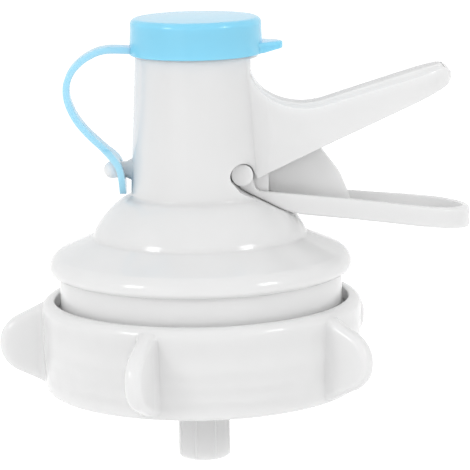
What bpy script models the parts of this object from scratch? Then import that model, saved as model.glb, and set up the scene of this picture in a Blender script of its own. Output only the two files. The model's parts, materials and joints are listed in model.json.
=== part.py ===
"""Squeeze-lever spigot that screws on the neck of a water jug.

Metres, +Z up along the spout. The origin is the middle of the ring that seals on the jug's neck,
+X points to the lever and the fixed handle above it.
"""
import math

import bmesh
import bpy
from mathutils import Matrix, Vector

# Fits shared by all pieces
FIT = 0.0003
RUNNING_FIT = 0.0004
POCKET_FIT = 0.00045
OVERRUN = 0.001
EDGE_ROUND = 0.0004

# Neck gasket, its underside is the seat
GASKET_INNER_RADIUS = 0.0268
GASKET_OUTER_RADIUS = 0.0314
GASKET_THICKNESS = 0.0014

# Flange, skirt and shoulder of the body
FLANGE_RADIUS = 0.0319
FLANGE_THICKNESS = 0.0022
SKIRT_RADIUS = 0.0299
SKIRT_WALL = 0.0019
SHOULDER_RADIUS = 0.032
SHOULDER_HEIGHT = 0.0132
SHOULDER_ROUND = 0.004
SHOULDER_SLOPE = math.radians(24.0)
SHOULDER_CEILING_HEIGHT = 0.0148

# Dome
DOME_RADIUS = 0.0226
DOME_TOP_HEIGHT = 0.029
DOME_FULLNESS = 1.38
DOME_WALL = 0.0019
DOME_CEILING_DROP = 0.0031
DOME_INNER_FOOT_HEIGHT = 0.0186

# Spout tube
TUBE_TOP_RADIUS = 0.01285
TUBE_FLARE = 0.00155
TUBE_WALL = 0.0016
NECK_STEP = 0.00025
NECK_HEIGHT = 0.006
THROAT_RADIUS = 0.0075
THROAT_RISE = 0.0069
SEAT_LIP_DEPTH = 0.0013
SEAT_LIP_WALL = 0.0019

# Fixed handle: a scoop that sweeps out of a flat pad on the tube
PAD_INSET = 0.00165
PAD_LENGTH = 0.0028
PAD_TOP_GAP = 0.0004
SCOOP_RISE = 0.0133
SCOOP_DEPTH = 0.0084
SCOOP_BOTTOM = 0.0225
HANDLE_RISE = math.radians(16.4)
HANDLE_REACH = 0.0533
HANDLE_NOSE_RADIUS = 0.00147
HANDLE_FOOT_DROP = 0.00128
HANDLE_FOOT_LEAD = 0.0031
HANDLE_HALF_WIDTH = 0.0083
HANDLE_WALL = 0.0016
HANDLE_EDGE = 0.0005
HANDLE_PLAN_SHARES = (
    (-0.08, 1.09),
    (-0.04, 1.02),
    (-0.02, 0.952),
    (0.055, 0.849),
    (0.114, 0.837),
    (0.28, 0.837),
    (0.40, 0.87),
    (0.518, 0.915),
    (0.684, 0.982),
    (0.80, 1.0),
    (0.874, 0.952),
    (0.933, 0.795),
    (0.974, 0.566),
    (0.993, 0.313),
    (1.0, 0.1),
)

# Pivot and the lug that the lever's arms straddle
PIVOT_INSET = 0.0022
PIVOT_RISE = 0.0053
LUG_HALF_WIDTH = 0.0047
LUG_REACH = 0.0056
LUG_FOOT_DEPTH = 0.0025
LUG_TOP_RISE = 0.003
POCKET_REACH = 0.015
POCKET_CORNER_REACH = 0.0033
POCKET_CORNER_ANGLE = math.radians(15.0)
TRUNNION_RADIUS = 0.0015
TRUNNION_LENGTH = 0.002

# Squeeze lever
LEVER_REACH = 0.0481
LEVER_HALF_WIDTH = 0.0081
LEVER_TIP_DROP = 0.0092
LEVER_ROOT_X = 0.0061
LEVER_ROOT_DROP = 0.0043
TRAY_HEIGHT = 0.004
TRAY_START = 0.0126
TRAY_FLOOR = 0.0013
TRAY_FLOOR_START = 0.0108
ARM_THICKNESS = 0.0014
EYE_RADIUS = 0.0023
LEVER_EDGE = 0.0005
LEVER_PLAN_SHARES = (
    (0.603, 0.877),
    (0.728, 0.975),
    (0.811, 1.0),
    (0.884, 0.938),
    (0.931, 0.802),
    (0.967, 0.617),
    (0.99, 0.37),
    (1.0, 0.111),
)
LEVER_STRAIGHT_SHARE = 0.457
ARM_UNDER_SHARES = (
    (-0.032, 0.353),
    (0.111, 0.475),
    (0.333, 0.629),
    (0.698, 0.883),
    (1.0, 1.0),
)
ARM_FRONT_SHARES = (
    (1.0, 1.0),
    (0.64, 0.942),
    (0.475, 0.79),
    (0.41, 0.535),
)
EYE_HEEL_ANGLE = math.radians(205.0)
WEB_THICKNESS = 0.0022
WEB_REACH = 0.0229
WEB_TOP_REACH = 0.016
WEB_RISE = 0.0061
WEB_EDGE_SHARES = (
    (0.0, 0.0),
    (0.145, 0.14),
    (0.377, 0.28),
    (0.652, 0.446),
    (0.826, 0.611),
    (0.986, 0.815),
    (1.0, 1.0),
)
WEB_TOP_SHARES = (
    (0.125, 0.38),
    (0.375, 0.475),
)
WEB_HEEL_REACH = 0.0058
WEB_HEEL_DROP = 0.0047
SLOT_HALF_WIDTH = 0.0015
SLOT_DROP = 0.0052
SLOT_RISE = 0.0064
NOSE_OVERHANG = 0.0012
NOSE_DROP = 0.0004
NOSE_RISE = 0.0023

# Peg for the strap
PEG_RISE = 0.0055
PEG_RADIUS = 0.00172
PEG_LENGTH = 0.0056
PEG_HEAD_RADIUS = 0.00182
PEG_FOOT_RADIUS = 0.0026
PEG_FOOT_LENGTH = 0.0011

# Cap
CAP_WALL = 0.0009
CAP_TAPER = 0.0003
CAP_HEIGHT = 0.0076
CAP_TOP_WALL = 0.0013
CAP_EDGE = 0.0012
CAP_FIT = 0.0003
TAB_LENGTH = 0.00405
TAB_TIP_RADIUS = 0.0026
TAB_HALF_WIDTH = 0.0062
TAB_THICKNESS = 0.0011
TAB_LIFT = 0.00085

# Strap and its eyelet. Middle lines: the strap's from the eyelet's end to the cap's foot, the
# eyelet's reach as a share of the peg's and its rise from the peg in eyelet radii
STRAP_THICKNESS = 0.0014
STRAP_WIDTH = 0.005
STRAP_ROUTE_SHARES = (
    (0.0, 1.052),
    (0.342, 1.069),
    (0.615, 1.069),
    (0.864, 1.046),
    (1.198, 0.96),
    (1.47, 0.838),
    (1.606, 0.694),
    (1.643, 0.561),
    (1.594, 0.422),
    (1.445, 0.26),
    (1.247, 0.127),
    (1.0, 0.0),
)
EYELET_ROUTE_SHARES = (
    (1.11, 1.308),
    (1.025, 1.0),
    (0.935, 0.673),
    (0.865, 0.346),
    (0.83, 0.0),
    (0.815, -0.481),
    (0.81, -1.0),
)
EYELET_RADIUS = 0.0052

# Valve
LIP_TO_WASHER = 0.0003
WASHER_THICKNESS = 0.0015
WASHER_RADIUS = 0.0106
DISC_RADIUS = 0.011
DISC_THICKNESS = 0.0016
DISC_BOSS_RADIUS = 0.0034
DISC_HUB_LENGTH = 0.0032
CLIP_RADIUS = 0.0056
CLIP_THICKNESS = 0.0006
ROD_RADIUS = 0.0022
ROD_HEAD_RADIUS = 0.0046
ROD_HEAD_THICKNESS = 0.0016
ROD_SHOULDER_RADIUS = 0.0031
ROD_SHOULDER_LENGTH = 0.0012
ROD_COLLAR_HEIGHT = -0.0014
ROD_COLLAR_THICKNESS = 0.0014
ROD_TAIL = 0.012

# Guide cage and the cup that hangs in it
CAGE_LEDGE_HEIGHT = 0.0076
CAGE_LEDGE_DEPTH = 0.001
CAGE_RING_HEIGHT = 0.0029
CAGE_RING_WALL = 0.0027
CAGE_HUB_WALL = 0.0016
CAGE_HUB_HEIGHT = 0.007
CAGE_ARMS = 4
CAGE_ARM_WIDTH = 0.0022
CUP_RADIUS = 0.0052
CUP_WALL = 0.0012
CUP_RIB_DEPTH = 0.0003
CUP_RIB_WIDTH = 0.001
CUP_RIBS = 8
CUP_BOTTOM = -0.028
CUP_FLOOR = 0.0014
CUP_DRAIN_RADIUS = 0.001
CUP_BRIM_RADIUS = 0.0066
CUP_BRIM_THICKNESS = 0.0012
CUP_FOOT_ROUND = 0.0012

# Return spring
SPRING_WIRE = 0.0007
SPRING_FIT = 0.0002
SPRING_CURLS = 11
SPRING_POINTS_PER_CURL = 9

# Wing nut
NUT_TOP_WALL = 0.0016
NUT_BOTTOM_WALL = 0.0012
NUT_TOP = 0.0071
NUT_BOTTOM = -0.012
NUT_LIP_OVERLAP = 0.0007
NUT_TOP_ROUND = 0.0019
NUT_FOOT_ROUND = 0.001
WING_COUNT = 5
WING_FIRST_ANGLE = math.radians(179.2)
WING_LENGTH = 0.009
WING_TIP_RADIUS = 0.0065
WING_TIP_HEIGHT = -0.0029
WING_THICKNESS = 0.0036
WING_EDGE = 0.0008

# Round pieces: facets in a full turn
LARGE_FACETS = 48
SMALL_FACETS = 26
TINY_FACETS = 16
ARC_FACETS = 6

# Places worked out from the sizes above
DOME_CEILING_HEIGHT = DOME_TOP_HEIGHT - DOME_CEILING_DROP
PIVOT_HEIGHT = DOME_TOP_HEIGHT + PIVOT_RISE
PEG_HEIGHT = DOME_TOP_HEIGHT + PEG_RISE
THROAT_HEIGHT = PIVOT_HEIGHT + THROAT_RISE
TUBE_BASE_RADIUS = TUBE_TOP_RADIUS + TUBE_FLARE
NECK_RADIUS = TUBE_TOP_RADIUS - NECK_STEP
PAD_FACE = TUBE_TOP_RADIUS - PAD_INSET
PIVOT_X = PAD_FACE - PIVOT_INSET
HANDLE_FOOT_REACH = PIVOT_X + HANDLE_FOOT_LEAD
LUG_FACE = PIVOT_X + LUG_REACH
NOSE_REACH = PIVOT_X + NOSE_OVERHANG
PEG_END = TUBE_BASE_RADIUS + PEG_LENGTH
HANDLE_FOOT_HEIGHT = PIVOT_HEIGHT - HANDLE_FOOT_DROP
SCOOP_TOP = PIVOT_HEIGHT + SCOOP_RISE + SCOOP_DEPTH
TUBE_TOP_HEIGHT = SCOOP_TOP + PAD_LENGTH
FLANGE_BOTTOM = GASKET_THICKNESS + FIT
FLANGE_TOP = FLANGE_BOTTOM + FLANGE_THICKNESS
NECK_TOP = TUBE_TOP_HEIGHT + NECK_HEIGHT
SKIRT_INNER_RADIUS = SKIRT_RADIUS - SKIRT_WALL
SEAT_HEIGHT = DOME_CEILING_HEIGHT - SEAT_LIP_DEPTH
WASHER_TOP = SEAT_HEIGHT - LIP_TO_WASHER
WASHER_BOTTOM = WASHER_TOP - WASHER_THICKNESS
DISC_TOP = WASHER_BOTTOM - FIT
DISC_BOTTOM = DISC_TOP - DISC_THICKNESS
HUB_BOTTOM = DISC_BOTTOM - DISC_HUB_LENGTH
ROD_HEAD_TOP = PIVOT_HEIGHT - NOSE_DROP - RUNNING_FIT
ARM_INNER = LUG_HALF_WIDTH + FIT
ARM_OUTER = ARM_INNER + ARM_THICKNESS
PIVOT = (PIVOT_X, PIVOT_HEIGHT)
PAD_TOP = TUBE_TOP_HEIGHT - PAD_TOP_GAP
BORE_RADIUS = TUBE_TOP_RADIUS - TUBE_WALL
CAGE_TOP = CAGE_LEDGE_HEIGHT - FIT
CAGE_BOTTOM = CAGE_TOP - CAGE_RING_HEIGHT
CAGE_RADIUS = SKIRT_INNER_RADIUS - FIT
CUP_RIB_RADIUS = CUP_RADIUS + CUP_RIB_DEPTH
CUP_BORE_RADIUS = CUP_RADIUS - CUP_WALL
CAGE_BORE_RADIUS = CUP_RIB_RADIUS + FIT
CAGE_HUB_RADIUS = CAGE_BORE_RADIUS + CAGE_HUB_WALL
CUP_BRIM_BOTTOM = CAGE_TOP + FIT
CUP_TOP = CUP_BRIM_BOTTOM + CUP_BRIM_THICKNESS
CAP_BORE_RADIUS = TUBE_TOP_RADIUS + CAP_FIT
CAP_RADIUS = CAP_BORE_RADIUS + CAP_WALL
CAP_TOP_RADIUS = CAP_RADIUS - CAP_TAPER
TAB_REACH = CAP_RADIUS + TAB_LENGTH
CAP_TOP = TUBE_TOP_HEIGHT + CAP_HEIGHT
NUT_LIP_BOTTOM = FLANGE_TOP + RUNNING_FIT
NUT_MOUTH_RADIUS = FLANGE_RADIUS - NUT_LIP_OVERLAP
NUT_BORE_RADIUS = FLANGE_RADIUS + RUNNING_FIT
NUT_TOP_RADIUS = NUT_BORE_RADIUS + NUT_TOP_WALL
NUT_BOTTOM_RADIUS = NUT_BORE_RADIUS + NUT_BOTTOM_WALL
WING_REACH = NUT_TOP_RADIUS + WING_LENGTH
PEG_HOLE_RADIUS = PEG_HEAD_RADIUS + FIT


def share_of(low, high, share):
    """The place that lies at a share of the way from one size to another."""
    return low + (high - low) * share


def arc(centre, radius, start, end, count=ARC_FACETS):
    """Points on an arc from one angle to another, in radians."""
    points = []
    for step in range(count + 1):
        angle = share_of(start, end, step / count)
        points.append((centre[0] + radius * math.cos(angle), centre[1] + radius * math.sin(angle)))
    return points


def super_arc(foot, crown, power, count=ARC_FACETS):
    """Quarter of a superellipse from its foot (radius, height) up to its crown."""
    width = foot[0] - crown[0]
    height = crown[1] - foot[1]
    points = []
    for step in range(count + 1):
        angle = share_of(0.0, math.pi / 2, step / count)
        x = max(math.cos(angle), 0.0) ** (2 / power)
        y = math.sin(angle) ** (2 / power)
        points.append((crown[0] + width * x, foot[1] + height * y))
    return points


def empty_scene():
    for old in list(bpy.data.objects):
        bpy.data.objects.remove(old, do_unlink=True)


def new_collection(name):
    collection = bpy.data.collections.new(name)
    bpy.context.scene.collection.children.link(collection)
    return collection


def plastic(name, colour, roughness, metallic=0.0):
    material = bpy.data.materials.new(name)
    material.use_nodes = True
    shader = material.node_tree.nodes["Principled BSDF"]
    shader.inputs["Base Color"].default_value = (*colour, 1.0)
    shader.inputs["Roughness"].default_value = roughness
    shader.inputs["Metallic"].default_value = metallic
    return material


def tidy(mesh):
    """Weld the caps of a converted curve and turn its faces out."""
    work = bmesh.new()
    work.from_mesh(mesh)
    bmesh.ops.remove_doubles(work, verts=work.verts, dist=FIT / 100)
    bmesh.ops.recalc_face_normals(work, faces=work.faces)
    work.to_mesh(mesh)
    work.free()


def curve_to_solid(curve_object, collection):
    """Replace a curve object by the mesh that it shows."""
    bpy.context.view_layer.update()
    graph = bpy.context.evaluated_depsgraph_get()
    mesh = bpy.data.meshes.new_from_object(curve_object.evaluated_get(graph))
    mesh.transform(curve_object.matrix_world)
    tidy(mesh)
    solid = bpy.data.objects.new(curve_object.name + "_solid", mesh)
    collection.objects.link(solid)
    name = curve_object.name
    bpy.data.objects.remove(curve_object, do_unlink=True)
    solid.name = name
    return solid


def plate(name, outline, thickness, collection, edge=0.0, facing="Z", middle=0.0):
    """A flat outline made solid. It lies in XY, or stands in XZ (facing Y) or in YZ (facing X)."""
    curve = bpy.data.curves.new(name, "CURVE")
    curve.dimensions = "2D"
    curve.fill_mode = "BOTH"
    curve.extrude = thickness / 2 - edge
    curve.bevel_depth = edge
    curve.bevel_resolution = 1
    curve.offset = -edge
    line = curve.splines.new("POLY")
    line.points.add(len(outline) - 1)
    for point, place in zip(line.points, outline):
        point.co = (place[0], place[1], 0.0, 1.0)
    line.use_cyclic_u = True
    item = bpy.data.objects.new(name, curve)
    collection.objects.link(item)
    if facing == "Z":
        item.location.z = middle
    else:
        item.rotation_euler.x = math.pi / 2
    if facing == "Y":
        item.location.y = middle
    if facing == "X":
        item.rotation_euler.z = math.pi / 2
        item.location.x = middle
    return curve_to_solid(item, collection)


def turned(name, profile, facets, collection, closed=True):
    """A profile of (radius, height) points turned round Z, listed down its outer side."""
    mesh = bpy.data.meshes.new(name)
    work = bmesh.new()
    points = [work.verts.new((radius, 0.0, height)) for radius, height in profile]
    for first, second in zip(points, points[1:]):
        work.edges.new((first, second))
    if closed:
        work.edges.new((points[-1], points[0]))
    work.to_mesh(mesh)
    work.free()
    item = bpy.data.objects.new(name, mesh)
    collection.objects.link(item)
    turn = item.modifiers.new("turn", "SCREW")
    turn.axis = "Z"
    turn.angle = math.tau
    turn.steps = facets
    turn.render_steps = facets
    turn.use_merge_vertices = True
    turn.merge_threshold = FIT / 1000
    return item


def rod(name, radius, start, end, facets, collection):
    """A round bar from one point to another, along a straight line."""
    length = (end - start).length
    mesh = bpy.data.meshes.new(name)
    work = bmesh.new()
    bmesh.ops.create_cone(
        work, cap_ends=True, segments=facets, radius1=radius, radius2=radius, depth=length
    )
    turn = (end - start).to_track_quat("Z", "Y").to_matrix().to_4x4()
    bmesh.ops.transform(work, matrix=Matrix.Translation((start + end) / 2) @ turn, verts=work.verts)
    work.to_mesh(mesh)
    work.free()
    item = bpy.data.objects.new(name, mesh)
    collection.objects.link(item)
    return item


def block(name, low, high, collection):
    """A box between two corners."""
    mesh = bpy.data.meshes.new(name)
    work = bmesh.new()
    bmesh.ops.create_cube(work, size=1.0)
    size = high - low
    bmesh.ops.transform(
        work,
        matrix=Matrix.Translation((low + high) / 2) @ Matrix.Diagonal((*size, 1.0)),
        verts=work.verts,
    )
    work.to_mesh(mesh)
    work.free()
    item = bpy.data.objects.new(name, mesh)
    collection.objects.link(item)
    return item


def as_tool(item):
    """Hide a cutter or an added form, which only shapes another object."""
    item.hide_render = True
    item.display_type = "WIRE"
    return item


def combine(item, other, operation):
    step = item.modifiers.new(operation.lower(), "BOOLEAN")
    step.operation = operation
    step.solver = "EXACT"
    step.object = as_tool(other)


def round_edges(item, width, segments=2, angle=math.radians(40.0)):
    bevel = item.modifiers.new("round", "BEVEL")
    bevel.width = width
    bevel.segments = segments
    bevel.use_clamp_overlap = False
    bevel.limit_method = "ANGLE"
    bevel.angle_limit = angle


def finish(item, material, smooth_angle=math.radians(35.0)):
    item.data.materials.clear()
    item.data.materials.append(material)
    item.data.shade_smooth()
    item.data.set_sharp_from_angle(angle=smooth_angle)
    return item


def set_origin(item, place):
    """Move an object's origin to its joint's axis and leave its shape where it is."""
    item.data.transform(Matrix.Translation(-place))
    item.location = place


def smooth_line(points, count=3):
    """A rounder line through the same points, with some points added in each stretch."""
    line = []
    for index in range(len(points) - 1):
        before = points[max(index - 1, 0)]
        start = points[index]
        end = points[index + 1]
        after = points[min(index + 2, len(points) - 1)]
        for step in range(count):
            t = step / count
            place = []
            for axis in range(2):
                rise = end[axis] - start[axis]
                lead = (end[axis] - before[axis]) / 2
                trail = (after[axis] - start[axis]) / 2
                square = 3 * rise - 2 * lead - trail
                cube = lead + trail - 2 * rise
                place.append(start[axis] + lead * t + square * t**2 + cube * t**3)
            line.append(tuple(place))
    line.append(points[-1])
    return line


def offset_line(points, distance):
    """The line moved sideways, to its left for a positive distance."""
    moved = []
    for index, place in enumerate(points):
        before = points[max(index - 1, 0)]
        after = points[min(index + 1, len(points) - 1)]
        run = after[0] - before[0]
        rise = after[1] - before[1]
        length = math.hypot(run, rise)
        moved.append((place[0] - rise / length * distance, place[1] + run / length * distance))
    return moved


def mirrored_outline(half):
    """A closed outline from its half above the X axis."""
    return half + [(x, -y) for x, y in reversed(half)]


def ribbon(route, thickness):
    return offset_line(route, thickness / 2) + offset_line(route, -thickness / 2)[::-1]


def tube_radius(height):
    """Outer radius of the tapered tube at a height."""
    share = (height - DOME_TOP_HEIGHT) / (TUBE_TOP_HEIGHT - DOME_TOP_HEIGHT)
    return share_of(TUBE_BASE_RADIUS, TUBE_TOP_RADIUS, share)


def body_profile():
    """Outer side of the turned body from the neck's top down to the flange."""
    middle = SHOULDER_RADIUS - SHOULDER_ROUND
    shoulder = arc((middle, SHOULDER_HEIGHT), SHOULDER_ROUND, math.pi / 2 - SHOULDER_SLOPE, 0.0)
    foot_height = shoulder[0][1] + (shoulder[0][0] - DOME_RADIUS) * math.tan(SHOULDER_SLOPE)
    dome = super_arc((DOME_RADIUS, foot_height), (TUBE_BASE_RADIUS, DOME_TOP_HEIGHT), DOME_FULLNESS)
    step = SHOULDER_RADIUS - SKIRT_RADIUS
    under = arc((SKIRT_RADIUS, SHOULDER_HEIGHT), step, 0.0, -math.pi / 2, ARC_FACETS // 2)
    return (
        [(0.0, NECK_TOP), (NECK_RADIUS, NECK_TOP), (NECK_RADIUS, TUBE_TOP_HEIGHT)]
        + [(TUBE_TOP_RADIUS, TUBE_TOP_HEIGHT)]
        + dome[::-1]
        + shoulder
        + under[1:]
        + [(SKIRT_RADIUS, FLANGE_TOP), (FLANGE_RADIUS, FLANGE_TOP)]
        + [(FLANGE_RADIUS, FLANGE_BOTTOM), (0.0, FLANGE_BOTTOM)]
    )


def chamber_profile():
    """Hollow of the body: throat, seat lip, dome, skirt and the ledge for the guide cage."""
    ceiling = (TUBE_BASE_RADIUS - DOME_WALL / 2, DOME_CEILING_HEIGHT)
    foot = (DOME_RADIUS - DOME_WALL, DOME_INNER_FOOT_HEIGHT)
    dome = super_arc(foot, ceiling, DOME_FULLNESS, ARC_FACETS // 2)
    lip_radius = THROAT_RADIUS + SEAT_LIP_WALL
    ledge_radius = SKIRT_INNER_RADIUS - CAGE_LEDGE_DEPTH
    return (
        [(0.0, THROAT_HEIGHT + OVERRUN), (THROAT_RADIUS, THROAT_HEIGHT + OVERRUN)]
        + [(THROAT_RADIUS, SEAT_HEIGHT), (lip_radius, SEAT_HEIGHT), (lip_radius, DOME_CEILING_HEIGHT)]
        + dome[::-1]
        + [(ledge_radius, SHOULDER_CEILING_HEIGHT), (ledge_radius, CAGE_LEDGE_HEIGHT)]
        + [(SKIRT_INNER_RADIUS, CAGE_LEDGE_HEIGHT), (SKIRT_INNER_RADIUS, FLANGE_BOTTOM - OVERRUN)]
        + [(0.0, FLANGE_BOTTOM - OVERRUN)]
    )


def bore_outline():
    """Round bore with a flat behind the pad."""
    half = math.acos((PAD_FACE - TUBE_WALL) / BORE_RADIUS)
    return arc((0.0, 0.0), BORE_RADIUS, half, math.tau - half, LARGE_FACETS)


def handle_top(inset=0.0):
    """Upper line of the handle: a hollow sweep from the pad, up to where the straight rise starts."""
    across = SCOOP_BOTTOM - PAD_FACE + inset
    deep = SCOOP_DEPTH + inset
    centre = (SCOOP_BOTTOM, SCOOP_TOP)
    start = -math.pi / 2
    if inset:
        start = -math.asin((SCOOP_BOTTOM - LUG_FACE) / across)
    last = math.atan(math.tan(HANDLE_RISE) * across / deep)
    line = []
    for step in range(2 * ARC_FACETS + 1):
        angle = share_of(start, last, step / (2 * ARC_FACETS))
        line.append((centre[0] + across * math.sin(angle), centre[1] - deep * math.cos(angle)))
    return line


def handle_nose():
    """Middle of the handle's round nose and the rise of the straight under edge that runs into it."""
    line_end = handle_top()[-1]
    middle_x = HANDLE_REACH - HANDLE_NOSE_RADIUS
    rise = (middle_x - line_end[0]) * math.tan(HANDLE_RISE)
    middle = (middle_x, line_end[1] + rise - HANDLE_NOSE_RADIUS / math.cos(HANDLE_RISE))
    run = middle[0] - HANDLE_FOOT_REACH
    climb = middle[1] - HANDLE_FOOT_HEIGHT
    return middle, math.atan2(climb, run) - math.asin(HANDLE_NOSE_RADIUS / math.hypot(run, climb))


def handle_under(x):
    """Height of the handle's under edge."""
    return HANDLE_FOOT_HEIGHT + (x - HANDLE_FOOT_REACH) * math.tan(handle_nose()[1])


def handle_side():
    """Outline of the handle seen from its side."""
    middle, under = handle_nose()
    nose = arc(middle, HANDLE_NOSE_RADIUS, math.pi / 2 + HANDLE_RISE, under - math.pi / 2)
    back = [(PIVOT_X, handle_under(PIVOT_X)), (PIVOT_X, PAD_TOP)]
    return [(PAD_FACE, PAD_TOP)] + handle_top() + nose + back


def handle_plan(inset=0.0):
    """Half outline of the handle seen from above."""
    length = HANDLE_REACH - PAD_FACE - inset
    half = []
    for reach_share, width_share in HANDLE_PLAN_SHARES:
        half.append((PAD_FACE + length * reach_share, HANDLE_HALF_WIDTH * width_share - inset))
    tip = HANDLE_HALF_WIDTH * HANDLE_PLAN_SHARES[-1][1]
    return [(x, max(y, tip)) for x, y in smooth_line(half, 2)]


def handle_hollow():
    """Side outline of the space inside the handle, open below."""
    line = handle_top(HANDLE_WALL)
    end = HANDLE_REACH - 2 * HANDLE_NOSE_RADIUS
    rise = (end - line[-1][0]) * math.tan(HANDLE_RISE)
    bottom = HANDLE_FOOT_HEIGHT - OVERRUN
    return line + [(end, line[-1][1] + rise), (end, bottom), (LUG_FACE, bottom)]


def handle_form(tools):
    handle = plate("handle_form", handle_side(), 4 * HANDLE_HALF_WIDTH, tools, facing="Y")
    outline = mirrored_outline(handle_plan())
    plan = plate("handle_plan", outline, 4 * HANDLE_REACH, tools)
    combine(handle, plan, "INTERSECT")
    round_edges(handle, HANDLE_EDGE)
    return handle


def handle_hollow_form(tools):
    hollow = plate("handle_hollow", handle_hollow(), 4 * HANDLE_HALF_WIDTH, tools, facing="Y")
    outline = mirrored_outline(handle_plan(HANDLE_WALL))
    plan = plate("handle_hollow_plan", outline, 4 * HANDLE_REACH, tools)
    combine(hollow, plan, "INTERSECT")
    return hollow


def lever_top(x):
    """Height of the lever's straight upper edge."""
    slope = (LEVER_TIP_DROP - LEVER_ROOT_DROP) / (LEVER_REACH - LEVER_ROOT_X)
    return PIVOT_HEIGHT - LEVER_ROOT_DROP - (x - PIVOT_X - LEVER_ROOT_X) * slope


def arm_under(drop=0.0):
    """Under edge of the lever's arms from the eye to the tray, moved down by a drop."""
    start = PIVOT_X + TRAY_START
    deep = PIVOT_HEIGHT - lever_top(start) + TRAY_HEIGHT
    line = []
    for reach_share, drop_share in ARM_UNDER_SHARES:
        line.append((PIVOT_X + TRAY_START * reach_share, PIVOT_HEIGHT - deep * drop_share - drop))
    return line


def pocket_outline():
    """Side recess in which an arm of the lever swings."""
    corner = PIVOT_X + POCKET_CORNER_REACH
    end = PIVOT_X + POCKET_REACH
    eye = arc(PIVOT, EYE_RADIUS + POCKET_FIT, POCKET_CORNER_ANGLE, EYE_HEEL_ANGLE, 3 * ARC_FACETS)
    under = arm_under(POCKET_FIT)
    high = [(end, handle_under(end) - FIT), (corner, handle_under(corner) - FIT / 2)]
    return eye + under + [(end, under[-1][1] - POCKET_FIT)] + high


def peg_form(tools):
    """Peg along -X that the strap's eyelet sits on."""
    root = tube_radius(PEG_HEIGHT)
    ball = (0.0, PEG_END - PEG_HEAD_RADIUS)
    neck = -math.acos(PEG_RADIUS / PEG_HEAD_RADIUS)
    profile = arc(ball, PEG_HEAD_RADIUS, math.pi / 2, neck)
    profile += [(PEG_RADIUS, root + PEG_FOOT_LENGTH), (PEG_FOOT_RADIUS, root - PEG_FOOT_LENGTH / 2)]
    profile += [(PEG_FOOT_RADIUS, root - OVERRUN), (0.0, root - OVERRUN)]
    peg = turned("peg", profile, TINY_FACETS, tools, closed=False)
    peg.rotation_euler.y = -math.pi / 2
    peg.location.z = PEG_HEIGHT
    return peg


def make_spout_body(parts, tools, material):
    body = turned("spout_body", body_profile(), LARGE_FACETS, parts, closed=False)
    front = [(x, height + FIT) for x, height in handle_top()]
    front = [(PAD_FACE - FIT, PAD_TOP - FIT), (PAD_FACE - FIT, front[0][1])] + front
    front.append((front[-1][0], PAD_TOP - FIT))
    combine(body, plate("pad_cut", front, 4 * TUBE_BASE_RADIUS, tools, facing="Y"), "DIFFERENCE")
    combine(body, handle_form(tools), "UNION")
    low = Vector((PIVOT_X, -LUG_HALF_WIDTH, DOME_TOP_HEIGHT - LUG_FOOT_DEPTH))
    high = Vector((LUG_FACE, LUG_HALF_WIDTH, HANDLE_FOOT_HEIGHT + LUG_TOP_RISE))
    combine(body, block("lug", low, high, tools), "UNION")
    combine(body, peg_form(tools), "UNION")
    combine(body, turned("chamber", chamber_profile(), LARGE_FACETS, tools, closed=False), "DIFFERENCE")
    tall = NECK_TOP + OVERRUN - THROAT_HEIGHT
    bore = plate("bore", bore_outline(), tall, tools, middle=THROAT_HEIGHT + tall / 2)
    combine(body, bore, "DIFFERENCE")
    combine(body, handle_hollow_form(tools), "DIFFERENCE")
    low = Vector((THROAT_RADIUS - OVERRUN, -SLOT_HALF_WIDTH, PIVOT_HEIGHT - SLOT_DROP))
    high = Vector((LUG_FACE + FIT, SLOT_HALF_WIDTH, PIVOT_HEIGHT + SLOT_RISE))
    combine(body, block("web_slot", low, high, tools), "DIFFERENCE")
    deep = TUBE_BASE_RADIUS
    hole_start = ARM_INNER - TRUNNION_LENGTH - FIT
    for side, label in ((1, "near"), (-1, "far")):
        middle = side * (LUG_HALF_WIDTH + deep / 2)
        pocket = plate("pocket_" + label, pocket_outline(), deep, tools, facing="Y", middle=middle)
        combine(body, pocket, "DIFFERENCE")
        start = Vector((PIVOT_X, side * hole_start, PIVOT_HEIGHT))
        end = Vector((PIVOT_X, side * (ARM_INNER + OVERRUN), PIVOT_HEIGHT))
        hole = rod("pivot_hole_" + label, TRUNNION_RADIUS + FIT, start, end, TINY_FACETS, tools)
        combine(body, hole, "DIFFERENCE")
    return finish(body, material)


def lever_plan(inset=0.0):
    """Half outline of the lever seen from above, from behind the eyes to the tip."""
    half = [(PIVOT_X - 2 * EYE_RADIUS, ARM_OUTER - inset)]
    half.append((PIVOT_X + LEVER_REACH * LEVER_STRAIGHT_SHARE, ARM_OUTER - inset))
    curve = [half[-1]]
    for reach_share, width_share in LEVER_PLAN_SHARES:
        x = PIVOT_X + (LEVER_REACH - inset) * reach_share
        curve.append((x, LEVER_HALF_WIDTH * width_share - inset))
    tip = LEVER_HALF_WIDTH * LEVER_PLAN_SHARES[-1][1]
    return half[:1] + [(x, max(y, tip)) for x, y in smooth_line(curve, 2)]


def lever_side():
    """Outline of the lever seen from its side."""
    tip = PIVOT_X + LEVER_REACH
    front = []
    for reach_share, drop_share in ARM_FRONT_SHARES:
        x = PIVOT_X + LEVER_ROOT_X * reach_share
        front.append((x, PIVOT_HEIGHT - LEVER_ROOT_DROP * drop_share))
    eye = arc(PIVOT, EYE_RADIUS, 0.0, EYE_HEEL_ANGLE, 3 * ARC_FACETS)
    return [(tip, lever_top(tip))] + front + eye + arm_under() + [(tip, lever_top(tip) - TRAY_HEIGHT)]


def tray_outline():
    """Side outline of what is taken out between the arms and above the tray's floor."""
    start = PIVOT_X + TRAY_FLOOR_START
    tip = PIVOT_X + LEVER_REACH
    down = TRAY_HEIGHT - TRAY_FLOOR
    high = PIVOT_HEIGHT + 2 * EYE_RADIUS
    low = lever_top(tip) - 2 * TRAY_HEIGHT
    back = PIVOT_X - 3 * EYE_RADIUS
    floor = [(start, lever_top(start) - down), (tip, lever_top(tip) - down)]
    return [(back, high), (back, low), (start, low)] + floor + [(tip, high)]


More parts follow.
